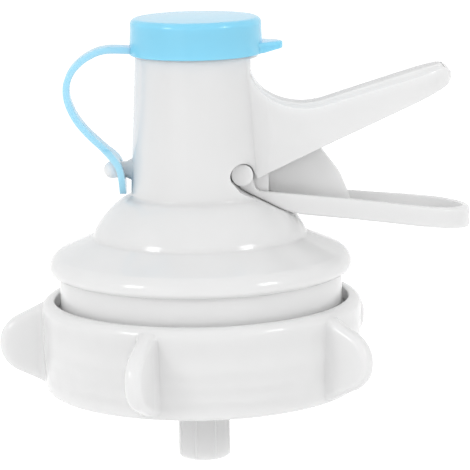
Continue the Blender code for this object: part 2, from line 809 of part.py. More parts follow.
def web_outline():
    """Upright web in the middle of the lever with the nose that reaches into the throat."""
    top = PIVOT_HEIGHT + WEB_RISE
    end = PIVOT_X + WEB_REACH
    inside_floor = TRAY_HEIGHT - TRAY_FLOOR / 2
    drop = top - lever_top(end) + inside_floor
    edge = []
    for reach_share, drop_share in WEB_EDGE_SHARES:
        x = PIVOT_X + share_of(WEB_TOP_REACH, WEB_REACH, reach_share)
        edge.append((x, top - drop * drop_share))
    start = PIVOT_X + TRAY_FLOOR_START + TRAY_FLOOR / 2
    under = [(start, lever_top(start) - inside_floor)]
    under.append((PIVOT_X + WEB_HEEL_REACH, PIVOT_HEIGHT - WEB_HEEL_DROP))
    last = -math.pi / 2 - math.asin(NOSE_DROP / EYE_RADIUS)
    hub = arc(PIVOT, EYE_RADIUS, -math.pi / 4, last)
    nose_end = PIVOT_X - NOSE_REACH
    hub = [place for place in hub if place[1] < PIVOT_HEIGHT - NOSE_DROP]
    nose = [(PIVOT_X - EYE_RADIUS, PIVOT_HEIGHT - NOSE_DROP), (nose_end, PIVOT_HEIGHT - NOSE_DROP)]
    nose += [(nose_end, PIVOT_HEIGHT + NOSE_RISE)]
    rise = []
    for reach_share, rise_share in WEB_TOP_SHARES:
        rise.append((PIVOT_X + WEB_TOP_REACH * reach_share, PIVOT_HEIGHT + WEB_RISE * rise_share))
    return edge + under + hub + nose + rise


def make_squeeze_lever(parts, tools, material):
    lever = plate("squeeze_lever", lever_side(), 4 * LEVER_HALF_WIDTH, parts, facing="Y")
    plan = plate("lever_plan", mirrored_outline(lever_plan()), 4 * LEVER_REACH, tools)
    combine(lever, plan, "INTERSECT")
    round_edges(lever, LEVER_EDGE)
    tray = plate("tray", tray_outline(), 4 * LEVER_HALF_WIDTH, tools, facing="Y")
    plan = plate("tray_plan", mirrored_outline(lever_plan(ARM_THICKNESS)), 4 * LEVER_REACH, tools)
    combine(tray, plan, "INTERSECT")
    combine(lever, tray, "DIFFERENCE")
    combine(lever, plate("web", web_outline(), WEB_THICKNESS, tools, facing="Y"), "UNION")
    for side, label in ((1, "near"), (-1, "far")):
        start = Vector((PIVOT_X, side * (ARM_INNER - TRUNNION_LENGTH), PIVOT_HEIGHT))
        end = Vector((PIVOT_X, side * (ARM_INNER + ARM_THICKNESS / 2), PIVOT_HEIGHT))
        trunnion = rod("trunnion_" + label, TRUNNION_RADIUS, start, end, TINY_FACETS, tools)
        combine(lever, trunnion, "UNION")
    finish(lever, material)
    return lever


def make_push_rod(parts, material):
    collar_radius = CUP_BORE_RADIUS - FIT
    shoulder_top = HUB_BOTTOM - FIT
    collar_bottom = ROD_COLLAR_HEIGHT - ROD_COLLAR_THICKNESS
    head_bottom = ROD_HEAD_TOP - ROD_HEAD_THICKNESS
    profile = [(0.0, ROD_HEAD_TOP), (ROD_HEAD_RADIUS, ROD_HEAD_TOP), (ROD_HEAD_RADIUS, head_bottom)]
    profile += [(ROD_RADIUS, head_bottom), (ROD_RADIUS, shoulder_top)]
    profile += [(ROD_SHOULDER_RADIUS, shoulder_top)]
    profile += [(ROD_SHOULDER_RADIUS, shoulder_top - ROD_SHOULDER_LENGTH)]
    profile += [(ROD_RADIUS, shoulder_top - ROD_SHOULDER_LENGTH), (ROD_RADIUS, ROD_COLLAR_HEIGHT)]
    profile += [(collar_radius, ROD_COLLAR_HEIGHT), (collar_radius, collar_bottom)]
    profile += [(ROD_RADIUS, collar_bottom), (ROD_RADIUS, collar_bottom - ROD_TAIL)]
    profile += [(0.0, collar_bottom - ROD_TAIL)]
    return finish(turned("push_rod", profile, SMALL_FACETS, parts, closed=False), material)


def make_valve_disc(parts, material):
    bore = ROD_RADIUS + FIT
    profile = [(bore, WASHER_TOP), (DISC_BOSS_RADIUS, WASHER_TOP), (DISC_BOSS_RADIUS, DISC_TOP)]
    profile += [(DISC_RADIUS, DISC_TOP), (DISC_RADIUS, DISC_BOTTOM), (DISC_BOSS_RADIUS, DISC_BOTTOM)]
    profile += [(DISC_BOSS_RADIUS, HUB_BOTTOM), (bore, HUB_BOTTOM)]
    return finish(turned("valve_disc", profile, SMALL_FACETS, parts), material)


def flat_ring(name, inner, outer, bottom, top, facets, parts):
    return turned(name, [(inner, top), (outer, top), (outer, bottom), (inner, bottom)], facets, parts)


def make_valve_washer(parts, material):
    inner = DISC_BOSS_RADIUS + FIT
    washer = flat_ring(
        "valve_washer", inner, WASHER_RADIUS, WASHER_BOTTOM, WASHER_TOP, SMALL_FACETS, parts
    )
    return finish(washer, material)


def make_washer_clip(parts, material):
    bottom = WASHER_TOP + FIT
    top = bottom + CLIP_THICKNESS
    clip = flat_ring("washer_clip", ROD_RADIUS + FIT, CLIP_RADIUS, bottom, top, SMALL_FACETS, parts)
    return finish(clip, material)


def make_neck_gasket(parts, material):
    inner = GASKET_INNER_RADIUS
    outer = GASKET_OUTER_RADIUS
    gasket = flat_ring("neck_gasket", inner, outer, 0.0, GASKET_THICKNESS, LARGE_FACETS, parts)
    return finish(gasket, material)


def make_guide_cage(parts, tools, material):
    inner = CAGE_RADIUS - CAGE_RING_WALL
    cage = flat_ring("guide_cage", inner, CAGE_RADIUS, CAGE_BOTTOM, CAGE_TOP, LARGE_FACETS, parts)
    hub_bottom = CAGE_TOP - CAGE_HUB_HEIGHT
    hub = flat_ring(
        "cage_hub", CAGE_BORE_RADIUS, CAGE_HUB_RADIUS, hub_bottom, CAGE_TOP, SMALL_FACETS, tools
    )
    combine(cage, hub, "UNION")
    for index in range(CAGE_ARMS):
        low = Vector((CAGE_HUB_RADIUS - CAGE_HUB_WALL / 2, -CAGE_ARM_WIDTH / 2, CAGE_BOTTOM))
        high = Vector((inner + CAGE_RING_WALL / 2, CAGE_ARM_WIDTH / 2, CAGE_TOP))
        arm = block("cage_arm_" + str(index), low, high, tools)
        arm.rotation_euler.z = math.tau * (index + 0.5) / CAGE_ARMS
        combine(cage, arm, "UNION")
    return finish(cage, material)


def cup_outline():
    """Round barrel with ribs, seen from above."""
    line = []
    half = CUP_RIB_WIDTH / CUP_RADIUS / 2
    for index in range(CUP_RIBS):
        middle = math.tau * (index + 0.5) / CUP_RIBS
        following = middle + math.tau / CUP_RIBS
        line += arc((0.0, 0.0), CUP_RIB_RADIUS, middle - half, middle + half, 1)
        line += arc((0.0, 0.0), CUP_RADIUS, middle + half, following - half, ARC_FACETS // 2)
    return line


def make_spring_cup(parts, tools, material):
    foot_top = CUP_BOTTOM + CUP_FOOT_ROUND
    barrel = CUP_TOP - foot_top
    middle = (CUP_TOP + foot_top) / 2
    cup = plate("spring_cup", cup_outline(), barrel, parts, middle=middle)
    foot = [(0.0, foot_top + OVERRUN), (CUP_RADIUS - FIT, foot_top + OVERRUN)]
    centre = (CUP_RADIUS - CUP_FOOT_ROUND, foot_top)
    foot += arc(centre, CUP_FOOT_ROUND, 0.0, -math.pi / 2, ARC_FACETS // 2)
    foot += [(0.0, CUP_BOTTOM)]
    combine(cup, turned("cup_foot", foot, SMALL_FACETS, tools, closed=False), "UNION")
    start = Vector((0.0, 0.0, CUP_BRIM_BOTTOM))
    end = Vector((0.0, 0.0, CUP_TOP))
    combine(cup, rod("cup_brim", CUP_BRIM_RADIUS, start, end, SMALL_FACETS, tools), "UNION")
    floor = CUP_BOTTOM + CUP_FLOOR
    bore = [(0.0, CUP_TOP + OVERRUN), (CUP_BORE_RADIUS, CUP_TOP + OVERRUN), (CUP_BORE_RADIUS, floor)]
    bore += [(CUP_DRAIN_RADIUS, floor), (CUP_DRAIN_RADIUS, CUP_BOTTOM - OVERRUN)]
    bore += [(0.0, CUP_BOTTOM - OVERRUN)]
    combine(cup, turned("cup_bore", bore, SMALL_FACETS, tools, closed=False), "DIFFERENCE")
    return finish(cup, material)


def spring_route():
    """Middle line of the wire: even curls with a short straight stretch at each end."""
    radius = CUP_BORE_RADIUS - SPRING_FIT - SPRING_WIRE / 2
    low = CUP_BOTTOM + CUP_FLOOR + FIT + SPRING_WIRE / 2
    high = ROD_COLLAR_HEIGHT - ROD_COLLAR_THICKNESS - FIT - SPRING_WIRE / 2
    count = SPRING_CURLS * SPRING_POINTS_PER_CURL
    line = []
    for step in range(count + 1):
        angle = math.tau * step / SPRING_POINTS_PER_CURL
        height = share_of(low, high, step / count)
        line.append(Vector((radius * math.cos(angle), radius * math.sin(angle), height)))
    start = line[0] + Vector((0.0, -SPRING_WIRE, 0.0))
    along = (line[-1] - line[-2]).normalized()
    turn = Matrix.Rotation(math.pi / SPRING_POINTS_PER_CURL, 3, "Z")
    end = line[-1] + turn @ along * SPRING_WIRE
    return [start] + line + [Vector((end.x, end.y, high))]


def least_gap(route):
    """Smallest space between two stretches of the wire that aren't neighbours."""
    least = SPRING_WIRE * SPRING_CURLS
    apart = SPRING_POINTS_PER_CURL // 2
    for index, place in enumerate(route):
        for other in route[index + apart :]:
            least = min(least, (place - other).length - SPRING_WIRE)
    return least


def make_return_spring(parts, material):
    route = spring_route()
    print("return_spring least gap to itself:", round(least_gap(route), 5))
    curve = bpy.data.curves.new("return_spring", "CURVE")
    curve.dimensions = "3D"
    curve.bevel_depth = SPRING_WIRE / 2
    curve.bevel_resolution = 1
    curve.use_fill_caps = True
    line = curve.splines.new("POLY")
    line.points.add(len(route) - 1)
    for point, place in zip(line.points, route):
        point.co = (*place, 1.0)
    item = bpy.data.objects.new("return_spring", curve)
    parts.objects.link(item)
    return finish(curve_to_solid(item, parts), material)


def wing_outline():
    """A wing seen from its side: straight edges that run tangent into the round tip."""
    tip = (WING_REACH - WING_TIP_RADIUS, WING_TIP_HEIGHT)
    high = (NUT_TOP_RADIUS - NUT_TOP_ROUND / 6, NUT_TOP - NUT_TOP_ROUND / 9)
    low = (NUT_BOTTOM_RADIUS, NUT_BOTTOM)
    angles = []
    for place, side in ((high, -1), (low, 1)):
        away = math.atan2(place[1] - tip[1], place[0] - tip[0])
        reach = math.hypot(place[0] - tip[0], place[1] - tip[1])
        angles.append(away + side * math.acos(WING_TIP_RADIUS / reach))
    round_tip = arc(tip, WING_TIP_RADIUS, angles[0], angles[1], 2 * ARC_FACETS)
    inside = [(NUT_MOUTH_RADIUS, high[1]), (NUT_MOUTH_RADIUS, low[1])]
    return inside + [low] + round_tip[::-1] + [high]


def make_wing_nut(parts, tools, material):
    centre = (NUT_TOP_RADIUS - NUT_TOP_ROUND, NUT_TOP - NUT_TOP_ROUND)
    top = arc(centre, NUT_TOP_ROUND, math.pi / 2, 0.0)
    centre = (NUT_BOTTOM_RADIUS - NUT_FOOT_ROUND, NUT_BOTTOM + NUT_FOOT_ROUND)
    foot = arc(centre, NUT_FOOT_ROUND, 0.0, -math.pi / 2)
    inner = NUT_MOUTH_RADIUS - OVERRUN
    ring = [(inner, NUT_TOP)] + top + foot + [(inner, NUT_BOTTOM)]
    nut = turned("wing_nut", ring, LARGE_FACETS, parts)
    for index in range(WING_COUNT):
        label = "wing_" + str(index)
        wing = plate(label, wing_outline(), WING_THICKNESS, tools, edge=WING_EDGE, facing="Y")
        wing.rotation_euler.z = WING_FIRST_ANGLE + math.tau * index / WING_COUNT
        combine(nut, wing, "UNION")
    over = NUT_TOP + OVERRUN
    under = NUT_BOTTOM - OVERRUN
    bore = [(0.0, over), (NUT_MOUTH_RADIUS, over), (NUT_MOUTH_RADIUS, NUT_LIP_BOTTOM)]
    bore += [(NUT_BORE_RADIUS, NUT_LIP_BOTTOM), (NUT_BORE_RADIUS, under), (0.0, under)]
    combine(nut, turned("nut_bore", bore, LARGE_FACETS, tools, closed=False), "DIFFERENCE")
    return finish(nut, material)


def tab_outline():
    """Half outline of the cap's pull tab seen from above."""
    middle = TAB_REACH - TAB_TIP_RADIUS
    root = math.sqrt(CAP_BORE_RADIUS**2 - TAB_HALF_WIDTH**2)
    away = math.atan2(TAB_HALF_WIDTH, root - middle)
    reach = math.hypot(TAB_HALF_WIDTH, root - middle)
    first = away - math.acos(TAB_TIP_RADIUS / reach)
    half = arc((middle, 0.0), TAB_TIP_RADIUS, first, 0.0)
    return [(0.0, TAB_HALF_WIDTH), (root, TAB_HALF_WIDTH)] + half[:-1] + [(TAB_REACH, 0.0)]


def make_spout_cap(parts, tools, material):
    profile = [(0.0, CAP_TOP)]
    profile += arc((CAP_TOP_RADIUS - CAP_EDGE, CAP_TOP - CAP_EDGE), CAP_EDGE, math.pi / 2, 0.0)
    profile += [(CAP_RADIUS, TUBE_TOP_HEIGHT), (0.0, TUBE_TOP_HEIGHT)]
    cap = turned("spout_cap", profile, LARGE_FACETS, parts, closed=False)
    half = tab_outline()
    outline = half + [(x, -y) for x, y in reversed(half[:-1])]
    middle = TUBE_TOP_HEIGHT + TAB_LIFT + TAB_THICKNESS / 2
    tab = plate("tab", outline, TAB_THICKNESS, tools, edge=TAB_THICKNESS / 4, middle=middle)
    combine(cap, tab, "UNION")
    start = Vector((0.0, 0.0, TUBE_TOP_HEIGHT - OVERRUN))
    end = Vector((0.0, 0.0, CAP_TOP - CAP_TOP_WALL))
    combine(cap, rod("cap_bore", CAP_BORE_RADIUS, start, end, LARGE_FACETS, tools), "DIFFERENCE")
    return finish(cap, material)


def eyelet_route():
    """Middle line of the eyelet seen from its side, from the strap down past the peg."""
    line = []
    for reach_share, rise_share in EYELET_ROUTE_SHARES:
        line.append((-PEG_END * reach_share, PEG_HEIGHT + EYELET_RADIUS * rise_share))
    return line


def strap_route():
    """Middle line of the strap seen from its side, from the cap's foot over to the eyelet."""
    low, following = eyelet_route()[:2]
    reach = math.hypot(low[0] - following[0], low[1] - following[1])
    foot_x = low[0] + (low[0] - following[0]) / reach * FIT
    foot_height = low[1] + (low[1] - following[1]) / reach * FIT
    line = []
    for reach_share, rise_share in STRAP_ROUTE_SHARES:
        x = share_of(-CAP_RADIUS - FIT, foot_x, reach_share)
        line.append((x, share_of(foot_height, TUBE_TOP_HEIGHT, rise_share)))
    return line


def make_cap_strap(parts, material):
    outline = ribbon(smooth_line(strap_route(), 2), STRAP_THICKNESS)
    strap = plate("cap_strap", outline, STRAP_WIDTH, parts, edge=EDGE_ROUND, facing="Y")
    return finish(strap, material)


def make_strap_eyelet(parts, tools, material):
    outline = ribbon(smooth_line(eyelet_route(), 2), STRAP_THICKNESS)
    eyelet = plate("strap_eyelet", outline, 4 * EYELET_RADIUS, parts, facing="Y")
    half = math.asin(STRAP_WIDTH / 2 / EYELET_RADIUS)
    centre = (0.0, PEG_HEIGHT)
    face = arc(centre, EYELET_RADIUS, math.pi / 2 + half, math.tau + math.pi / 2 - half, SMALL_FACETS)
    top = eyelet_route()[0][1] + STRAP_WIDTH
    face += [(STRAP_WIDTH / 2, top), (-STRAP_WIDTH / 2, top)]
    front = plate("eyelet_face", face, 4 * PEG_END, tools, facing="X")
    combine(eyelet, front, "INTERSECT")
    start = Vector((-2 * PEG_END, 0.0, PEG_HEIGHT))
    end = Vector((0.0, 0.0, PEG_HEIGHT))
    combine(eyelet, rod("eyelet_hole", PEG_HOLE_RADIUS, start, end, SMALL_FACETS, tools), "DIFFERENCE")
    return finish(eyelet, material)


def build():
    empty_scene()
    parts = new_collection("water_jug_spigot")
    tools = new_collection("water_jug_spigot_cutters")
    white = plastic("white_plastic", (0.80, 0.80, 0.80), 0.28)
    lever_white = plastic("lever_plastic", (0.77, 0.77, 0.77), 0.30)
    nut_white = plastic("nut_plastic", (0.80, 0.80, 0.80), 0.26)
    cup_white = plastic("cup_plastic", (0.76, 0.76, 0.76), 0.32)
    inner_white = plastic("valve_plastic", (0.74, 0.74, 0.74), 0.35)
    cap_blue = plastic("cap_plastic", (0.31, 0.71, 0.98), 0.30)
    strap_blue = plastic("strap_plastic", (0.41, 0.77, 0.92), 0.34)
    rubber = plastic("seal_rubber", (0.60, 0.60, 0.58), 0.60)
    steel = plastic("spring_steel", (0.55, 0.56, 0.57), 0.30, 1.0)
    make_spout_body(parts, tools, white)
    lever = make_squeeze_lever(parts, tools, lever_white)
    make_wing_nut(parts, tools, nut_white)
    make_spout_cap(parts, tools, cap_blue)
    make_cap_strap(parts, strap_blue)
    make_strap_eyelet(parts, tools, strap_blue)
    make_spring_cup(parts, tools, cup_white)
    make_neck_gasket(parts, rubber)
    make_guide_cage(parts, tools, inner_white)
    make_return_spring(parts, steel)
    make_push_rod(parts, inner_white)
    make_valve_disc(parts, inner_white)
    make_valve_washer(parts, rubber)
    make_washer_clip(parts, steel)
    set_origin(lever, Vector((PIVOT_X, 0.0, PIVOT_HEIGHT)))


build()
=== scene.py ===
"""Looks of a squeeze-lever spigot for a water jug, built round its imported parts.

Metres, +Z up along the spout, +X towards the lever and the fixed handle above it.
"""
import json
import math

import bmesh
import bpy
from mathutils import Matrix, Vector

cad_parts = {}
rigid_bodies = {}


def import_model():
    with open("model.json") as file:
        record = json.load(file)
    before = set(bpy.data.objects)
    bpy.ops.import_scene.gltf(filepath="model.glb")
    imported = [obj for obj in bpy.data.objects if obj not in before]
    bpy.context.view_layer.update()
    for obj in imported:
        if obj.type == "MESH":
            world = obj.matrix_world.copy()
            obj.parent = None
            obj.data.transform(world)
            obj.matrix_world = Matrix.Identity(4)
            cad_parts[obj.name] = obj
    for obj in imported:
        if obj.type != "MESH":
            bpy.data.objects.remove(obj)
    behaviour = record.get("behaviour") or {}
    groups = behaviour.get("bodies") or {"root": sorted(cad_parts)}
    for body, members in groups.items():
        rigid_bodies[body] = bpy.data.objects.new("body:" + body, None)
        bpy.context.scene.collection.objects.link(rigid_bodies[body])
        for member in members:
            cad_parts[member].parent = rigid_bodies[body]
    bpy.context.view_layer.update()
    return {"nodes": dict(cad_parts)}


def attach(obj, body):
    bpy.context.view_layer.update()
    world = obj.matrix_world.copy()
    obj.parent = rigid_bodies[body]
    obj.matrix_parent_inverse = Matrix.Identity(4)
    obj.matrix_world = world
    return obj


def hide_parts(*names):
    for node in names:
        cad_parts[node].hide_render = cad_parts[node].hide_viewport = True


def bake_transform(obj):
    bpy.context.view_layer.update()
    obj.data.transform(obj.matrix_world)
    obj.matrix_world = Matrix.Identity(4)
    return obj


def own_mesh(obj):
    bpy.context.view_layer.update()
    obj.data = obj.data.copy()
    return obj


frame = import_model()

# Body of the spout
FLANGE_RADIUS = 0.0319
FLANGE_BOTTOM = 0.0017
FLANGE_TOP = 0.0039
SKIRT_RADIUS = 0.0299
SKIRT_INNER_RADIUS = 0.028
LEDGE_RADIUS = 0.027
LEDGE_HEIGHT = 0.0076
SHOULDER_RADIUS = 0.032
SHOULDER_HEIGHT = 0.014
SHOULDER_ROUND = 0.0033
SHOULDER_UNDER_DEPTH = 0.00145
SHOULDER_SLOPE = math.radians(24.0)
SHOULDER_CEILING = 0.0148
DOME_RADIUS = 0.0226
DOME_TOP = 0.029
DOME_FULLNESS = 1.38
DOME_WALL = 0.0019
DOME_CEILING = 0.0259
DOME_INNER_FOOT = 0.0186
TUBE_BASE_RADIUS = 0.0144
TUBE_TOP_RADIUS = 0.01285
TUBE_TOP = 0.0588
TUBE_WALL = 0.0016
BORE_RADIUS = 0.01125
NECK_RADIUS = 0.0126
NECK_TOP = 0.0648
THROAT_RADIUS = 0.0075
THROAT_TOP = 0.0412
SEAT_HEIGHT = 0.0246
SEAT_LIP_RADIUS = 0.0094
DOME_FOOT_FILLET = 0.0009
TUBE_FOOT_FILLET = 0.0011

# Fixed handle
PAD_FACE = 0.0112
PAD_TOP = 0.0584
SCOOP_BOTTOM = 0.0225
SCOOP_TOP = 0.056
SCOOP_DEPTH = 0.0084
HANDLE_RISE = math.radians(16.4)
HANDLE_REACH = 0.0533
HANDLE_NOSE_RADIUS = 0.002
HANDLE_FOOT = (0.0121, 0.03302)
HANDLE_HALF_WIDTH = 0.0083
HANDLE_WALL = 0.0016
HANDLE_EDGE = 0.00015
HANDLE_PLAN_SHARES = (
    (-0.08, 1.09),
    (-0.04, 1.02),
    (-0.02, 0.952),
    (0.055, 0.849),
    (0.114, 0.837),
    (0.28, 0.837),
    (0.40, 0.87),
    (0.518, 0.915),
    (0.684, 0.982),
    (0.80, 1.0),
    (0.874, 0.952),
    (0.933, 0.795),
    (0.974, 0.566),
    (0.993, 0.313),
    (1.0, 0.1),
)

# Pivot and lug
PIVOT = (0.009, 0.0343)
LUG_HALF_WIDTH = 0.0047
LUG_FACE = 0.0146
LUG_FOOT = 0.0265
LUG_TOP = 0.03602
POCKET_FIT = 0.00022
POCKET_REACH = 0.015
POCKET_CORNER_REACH = 0.0033
POCKET_CORNER_ANGLE = math.radians(15.0)
TRUNNION_RADIUS = 0.0015
TRUNNION_LENGTH = 0.002
ARM_INNER = 0.005
ARM_OUTER = 0.0064
SLOT_HALF_WIDTH = 0.0015
SLOT_LOW = 0.0291
SLOT_HIGH = 0.0407

# Squeeze lever, measured from the pivot
LEVER_REACH = 0.0481
LEVER_HALF_WIDTH = 0.0081
LEVER_TIP_DROP = 0.009
LEVER_ROOT_X = 0.0061
LEVER_ROOT_DROP = 0.0043
TRAY_HEIGHT = 0.0042
TRAY_START = 0.0126
TRAY_FLOOR = 0.0013
TRAY_FLOOR_START = 0.0108
ARM_THICKNESS = 0.0014
EYE_RADIUS = 0.0023
BOSS_LENGTH = 0.0042
LEVER_EDGE = 0.0005
LEVER_PLAN_SHARES = (
    (0.603, 0.877),
    (0.728, 0.975),
    (0.811, 1.0),
    (0.884, 0.938),
    (0.931, 0.802),
    (0.967, 0.617),
    (0.99, 0.37),
    (1.0, 0.111),
)
LEVER_STRAIGHT_SHARE = 0.457
ARM_UNDER_SHARES = ((-0.032, 0.353), (0.111, 0.475), (0.333, 0.629), (0.698, 0.883), (1.0, 1.0))
ARM_FRONT_SHARES = ((1.0, 1.0), (0.64, 0.942), (0.475, 0.79), (0.41, 0.535))
EYE_HEEL_ANGLE = math.radians(205.0)
WEB_THICKNESS = 0.0022
WEB_REACH = 0.0229
WEB_TOP_REACH = 0.016
WEB_RISE = 0.0061
WEB_EDGE_SHARES = (
    (0.0, 0.0),
    (0.145, 0.14),
    (0.377, 0.28),
    (0.652, 0.446),
    (0.826, 0.611),
    (0.986, 0.815),
    (1.0, 1.0),
)
WEB_TOP_SHARES = ((0.125, 0.38), (0.375, 0.475))
WEB_HEEL = (0.0058, 0.0047)
NOSE_REACH = 0.0102
NOSE_DROP = 0.0004
NOSE_RISE = 0.0023

# Peg, cap, strap and eyelet
PEG_HEIGHT = 0.0345
PEG_RADIUS = 0.00172
PEG_END = 0.02
PEG_HEAD_RADIUS = 0.00182
PEG_FOOT_RADIUS = 0.0026
PEG_FOOT_LENGTH = 0.0011
CAP_RADIUS = 0.01405
CAP_TOP_RADIUS = 0.01375
CAP_TOP = 0.0664
CAP_TOP_WALL = 0.0013
CAP_EDGE = 0.0013
CAP_BORE_RADIUS = 0.01315
TAB_REACH = 0.0181
TAB_TIP_RADIUS = 0.0026
TAB_HALF_WIDTH = 0.0062
TAB_THICKNESS = 0.0011
TAB_MIDDLE = 0.0606
TAB_GUSSET_DEPTH = 0.00105
TAB_GUSSET_SHARE = 0.97
STRAP_THICKNESS = 0.0014
STRAP_WIDTH = 0.005
STRAP_ROUTE = (
    (-0.0136, 0.0598),
    (-0.0171, 0.0600),
    (-0.0192, 0.0599),
    (-0.0211, 0.0594),
    (-0.0237, 0.0580),
    (-0.0259, 0.0559),
    (-0.0271, 0.0535),
    (-0.0274, 0.0512),
    (-0.0270, 0.0488),
    (-0.0258, 0.0460),
    (-0.0242, 0.0437),
    (-0.0222, 0.0415),
    (-0.0203, 0.0397),
    (-0.0185, 0.0380),
)
EYELET_ROUTE = (
    (-0.0222, 0.0415),
    (-0.0203, 0.0397),
    (-0.0185, 0.0380),
    (-0.0171, 0.0363),
    (-0.0164, 0.0345),
    (-0.0161, 0.0320),
    (-0.0160, 0.0293),
)
EYELET_RADIUS = 0.0052
EYELET_HOLE_RADIUS = 0.00212

# Cup under the valve
CUP_RADIUS = 0.0055
CUP_WALL = 0.0012
CUP_RIB_DEPTH = 0.00022
CUP_RIBS = 8
CUP_RIB_TURN = math.radians(3.0)
CUP_BOTTOM = -0.028
CUP_FLOOR = -0.0266
CUP_DRAIN_RADIUS = 0.001
CUP_BRIM_RADIUS = 0.0066
CUP_BRIM_BOTTOM = 0.0076
CUP_TOP = 0.0088
CUP_FOOT_ROUND = 0.0009

# Return spring
SPRING_WIRE = 0.0007
SPRING_RADIUS = 0.00345
SPRING_LOW = -0.02595
SPRING_HIGH = -0.00345
SPRING_CURLS = 11.0

# Wing nut
NUT_TOP_RADIUS = 0.0339
NUT_BOTTOM_RADIUS = 0.0335
NUT_TOP = 0.0071
NUT_BOTTOM = -0.012
NUT_LIP_BOTTOM = 0.0043
NUT_MOUTH_RADIUS = 0.0312
NUT_BORE_RADIUS = 0.0323
NUT_TOP_ROUND = 0.0019
NUT_FOOT_ROUND = 0.001
WING_COUNT = 5
WING_FIRST_ANGLE = math.radians(178.5)
WING_REACH = 0.0432
WING_TIP_RADIUS = 0.0065
WING_TIP_HEIGHT = -0.0026
WING_ROOT_DROP = 0.0009
WING_ROOT_LIFT = 0.0007
WING_THICKNESS = 0.0036
WING_EDGE = 0.0014
WING_ROOT_FILLET = 0.0024
THREAD_PITCH = 0.003
THREAD_TURNS = 2.75
THREAD_DEPTH = 0.0009
THREAD_LOW = -0.0098

# Plastics: scales of their noises, the clouds' range, shares of the roughness, depths of ripple and glow
CLOUD_SCALE = 90.0
CLOUD_RANGE = (0.3, 0.7)
PATCH_SCALE = 160.0
ROUGHNESS_SHARES = (0.8, 1.25)
RIPPLE_SCALE = 420.0
RIPPLE_DEPTH = 0.00003
GLOW_DEPTH = 0.0025
PLASTIC_IOR = 1.49

# Steel wire
WIRE_SCALE = 900.0
WIRE_ROUGHNESS = (0.2, 0.42)

# Room: the surround's level as light, and as it is seen
SURROUND_LEVELS = (0.78, 1.0)
FLOOR_HEIGHT = -0.07
FLOOR_REACH = 1.5
PAPER_COLOUR = (0.97, 0.97, 0.97, 1.0)
PAPER_LIFT = 0.35

# Softboxes: name, place, size and power
LAMP_TARGET = (0.0, 0.0, 0.02)
LAMPS = (
    ("left_softbox", (-0.79, -0.575, 0.45), 0.25, 1.75),
    ("right_softbox", (0.79, -0.575, 0.45), 0.25, 1.65),
    ("top_softbox", (0.0, 0.25, 0.85), 0.5, 0.15),
    ("front_softbox", (-0.6, -0.95, 0.26), 0.6, 0.5),
)

# Camera: it stands on a circle round a point on the spout's axis and looks at a point beside it
CAMERA_DISTANCE = 0.56
CAMERA_LIFT = math.radians(10.45)
CAMERA_PIVOT_HEIGHT = 0.022
CAMERA_AIM = (0.0074, 0.0, 0.0199)
CAMERA_ROLL = math.radians(-1.1)
CAMERA_LENS = 202.44
CAMERA_NEAR = 0.01
SENSOR_WIDTH = 36.0

# Facets in a full turn, on an arc and on the edge of a plate
LARGE_FACETS = 144
MIDDLE_FACETS = 72
SMALL_FACETS = 48
RIB_FACETS = 16
WIRE_FACETS = 12
RIDGE_FACETS = 6
CURL_FACETS = 40
ARC_FACETS = 14
FILLET_FACETS = 8
EDGE_STEPS = 3

# Cutters run this far past what they cut, and small rounds and gaps have this size
OVERRUN = 0.001
FIT = 0.0003

# Edges that get rounded, those that stay crisp, and how close points are merged
ROUNDED_ANGLE = math.radians(40.0)
CRISP_ANGLE = math.radians(38.0)
MERGE_DISTANCE = 0.000003
SEAM_DISTANCE = 0.000001

# The two sides of the middle plane, along +Y and -Y
SIDES = ((1, "far"), (-1, "near"))

# Longest share of a line's stretch that the round of one corner may take
CORNER_SHARE = 0.48

drafts = bpy.data.collections.new("drafts")
bpy.context.scene.collection.children.link(drafts)


def share_of(low, high, share):
    return low + (high - low) * share


def arc(centre, radius, start, end, count=ARC_FACETS):
    """Points on an arc from one angle to another, in radians."""
    points = []
    for step in range(count + 1):
        angle = share_of(start, end, step / count)
        points.append((centre[0] + radius * math.cos(angle), centre[1] + radius * math.sin(angle)))
    return points


def super_arc(foot, crown, power, count=2 * ARC_FACETS):
    """Quarter of a superellipse from its foot (radius, height) up to its crown."""
    points = []
    for step in range(count + 1):
        angle = share_of(0.0, math.pi / 2, step / count)
        x = math.cos(angle) ** (2 / power)
        y = math.sin(angle) ** (2 / power)
        points.append((share_of(crown[0], foot[0], x), share_of(foot[1], crown[1], y)))
    return points


def rounded_line(corners, count=6):
    """A line through corners (x, y, radius), each corner turned into an arc of its radius."""
    line = []
    for index, (x, y, radius) in enumerate(corners):
        if index in (0, len(corners) - 1) or radius <= 0.0:
            line.append((x, y))
            continue
        here = Vector((x, y))
        back = Vector(corners[index - 1][:2]) - here
        on = Vector(corners[index + 1][:2]) - here
        turn = math.pi - back.angle(on)
        room = CORNER_SHARE * min(back.length, on.length)
        reach = min(radius * math.tan(turn / 2), room)
        radius = reach / math.tan(turn / 2)
        first = here + back.normalized() * reach
        last = here + on.normalized() * reach
        centre = here + (back.normalized() + on.normalized()).normalized() * math.hypot(reach, radius)
        start = math.atan2(first.y - centre.y, first.x - centre.x)
        sweep = math.atan2(last.y - centre.y, last.x - centre.x) - start
        sweep = (sweep + math.pi) % math.tau - math.pi
        line += arc((centre.x, centre.y), radius, start, start + sweep, count)
    return line


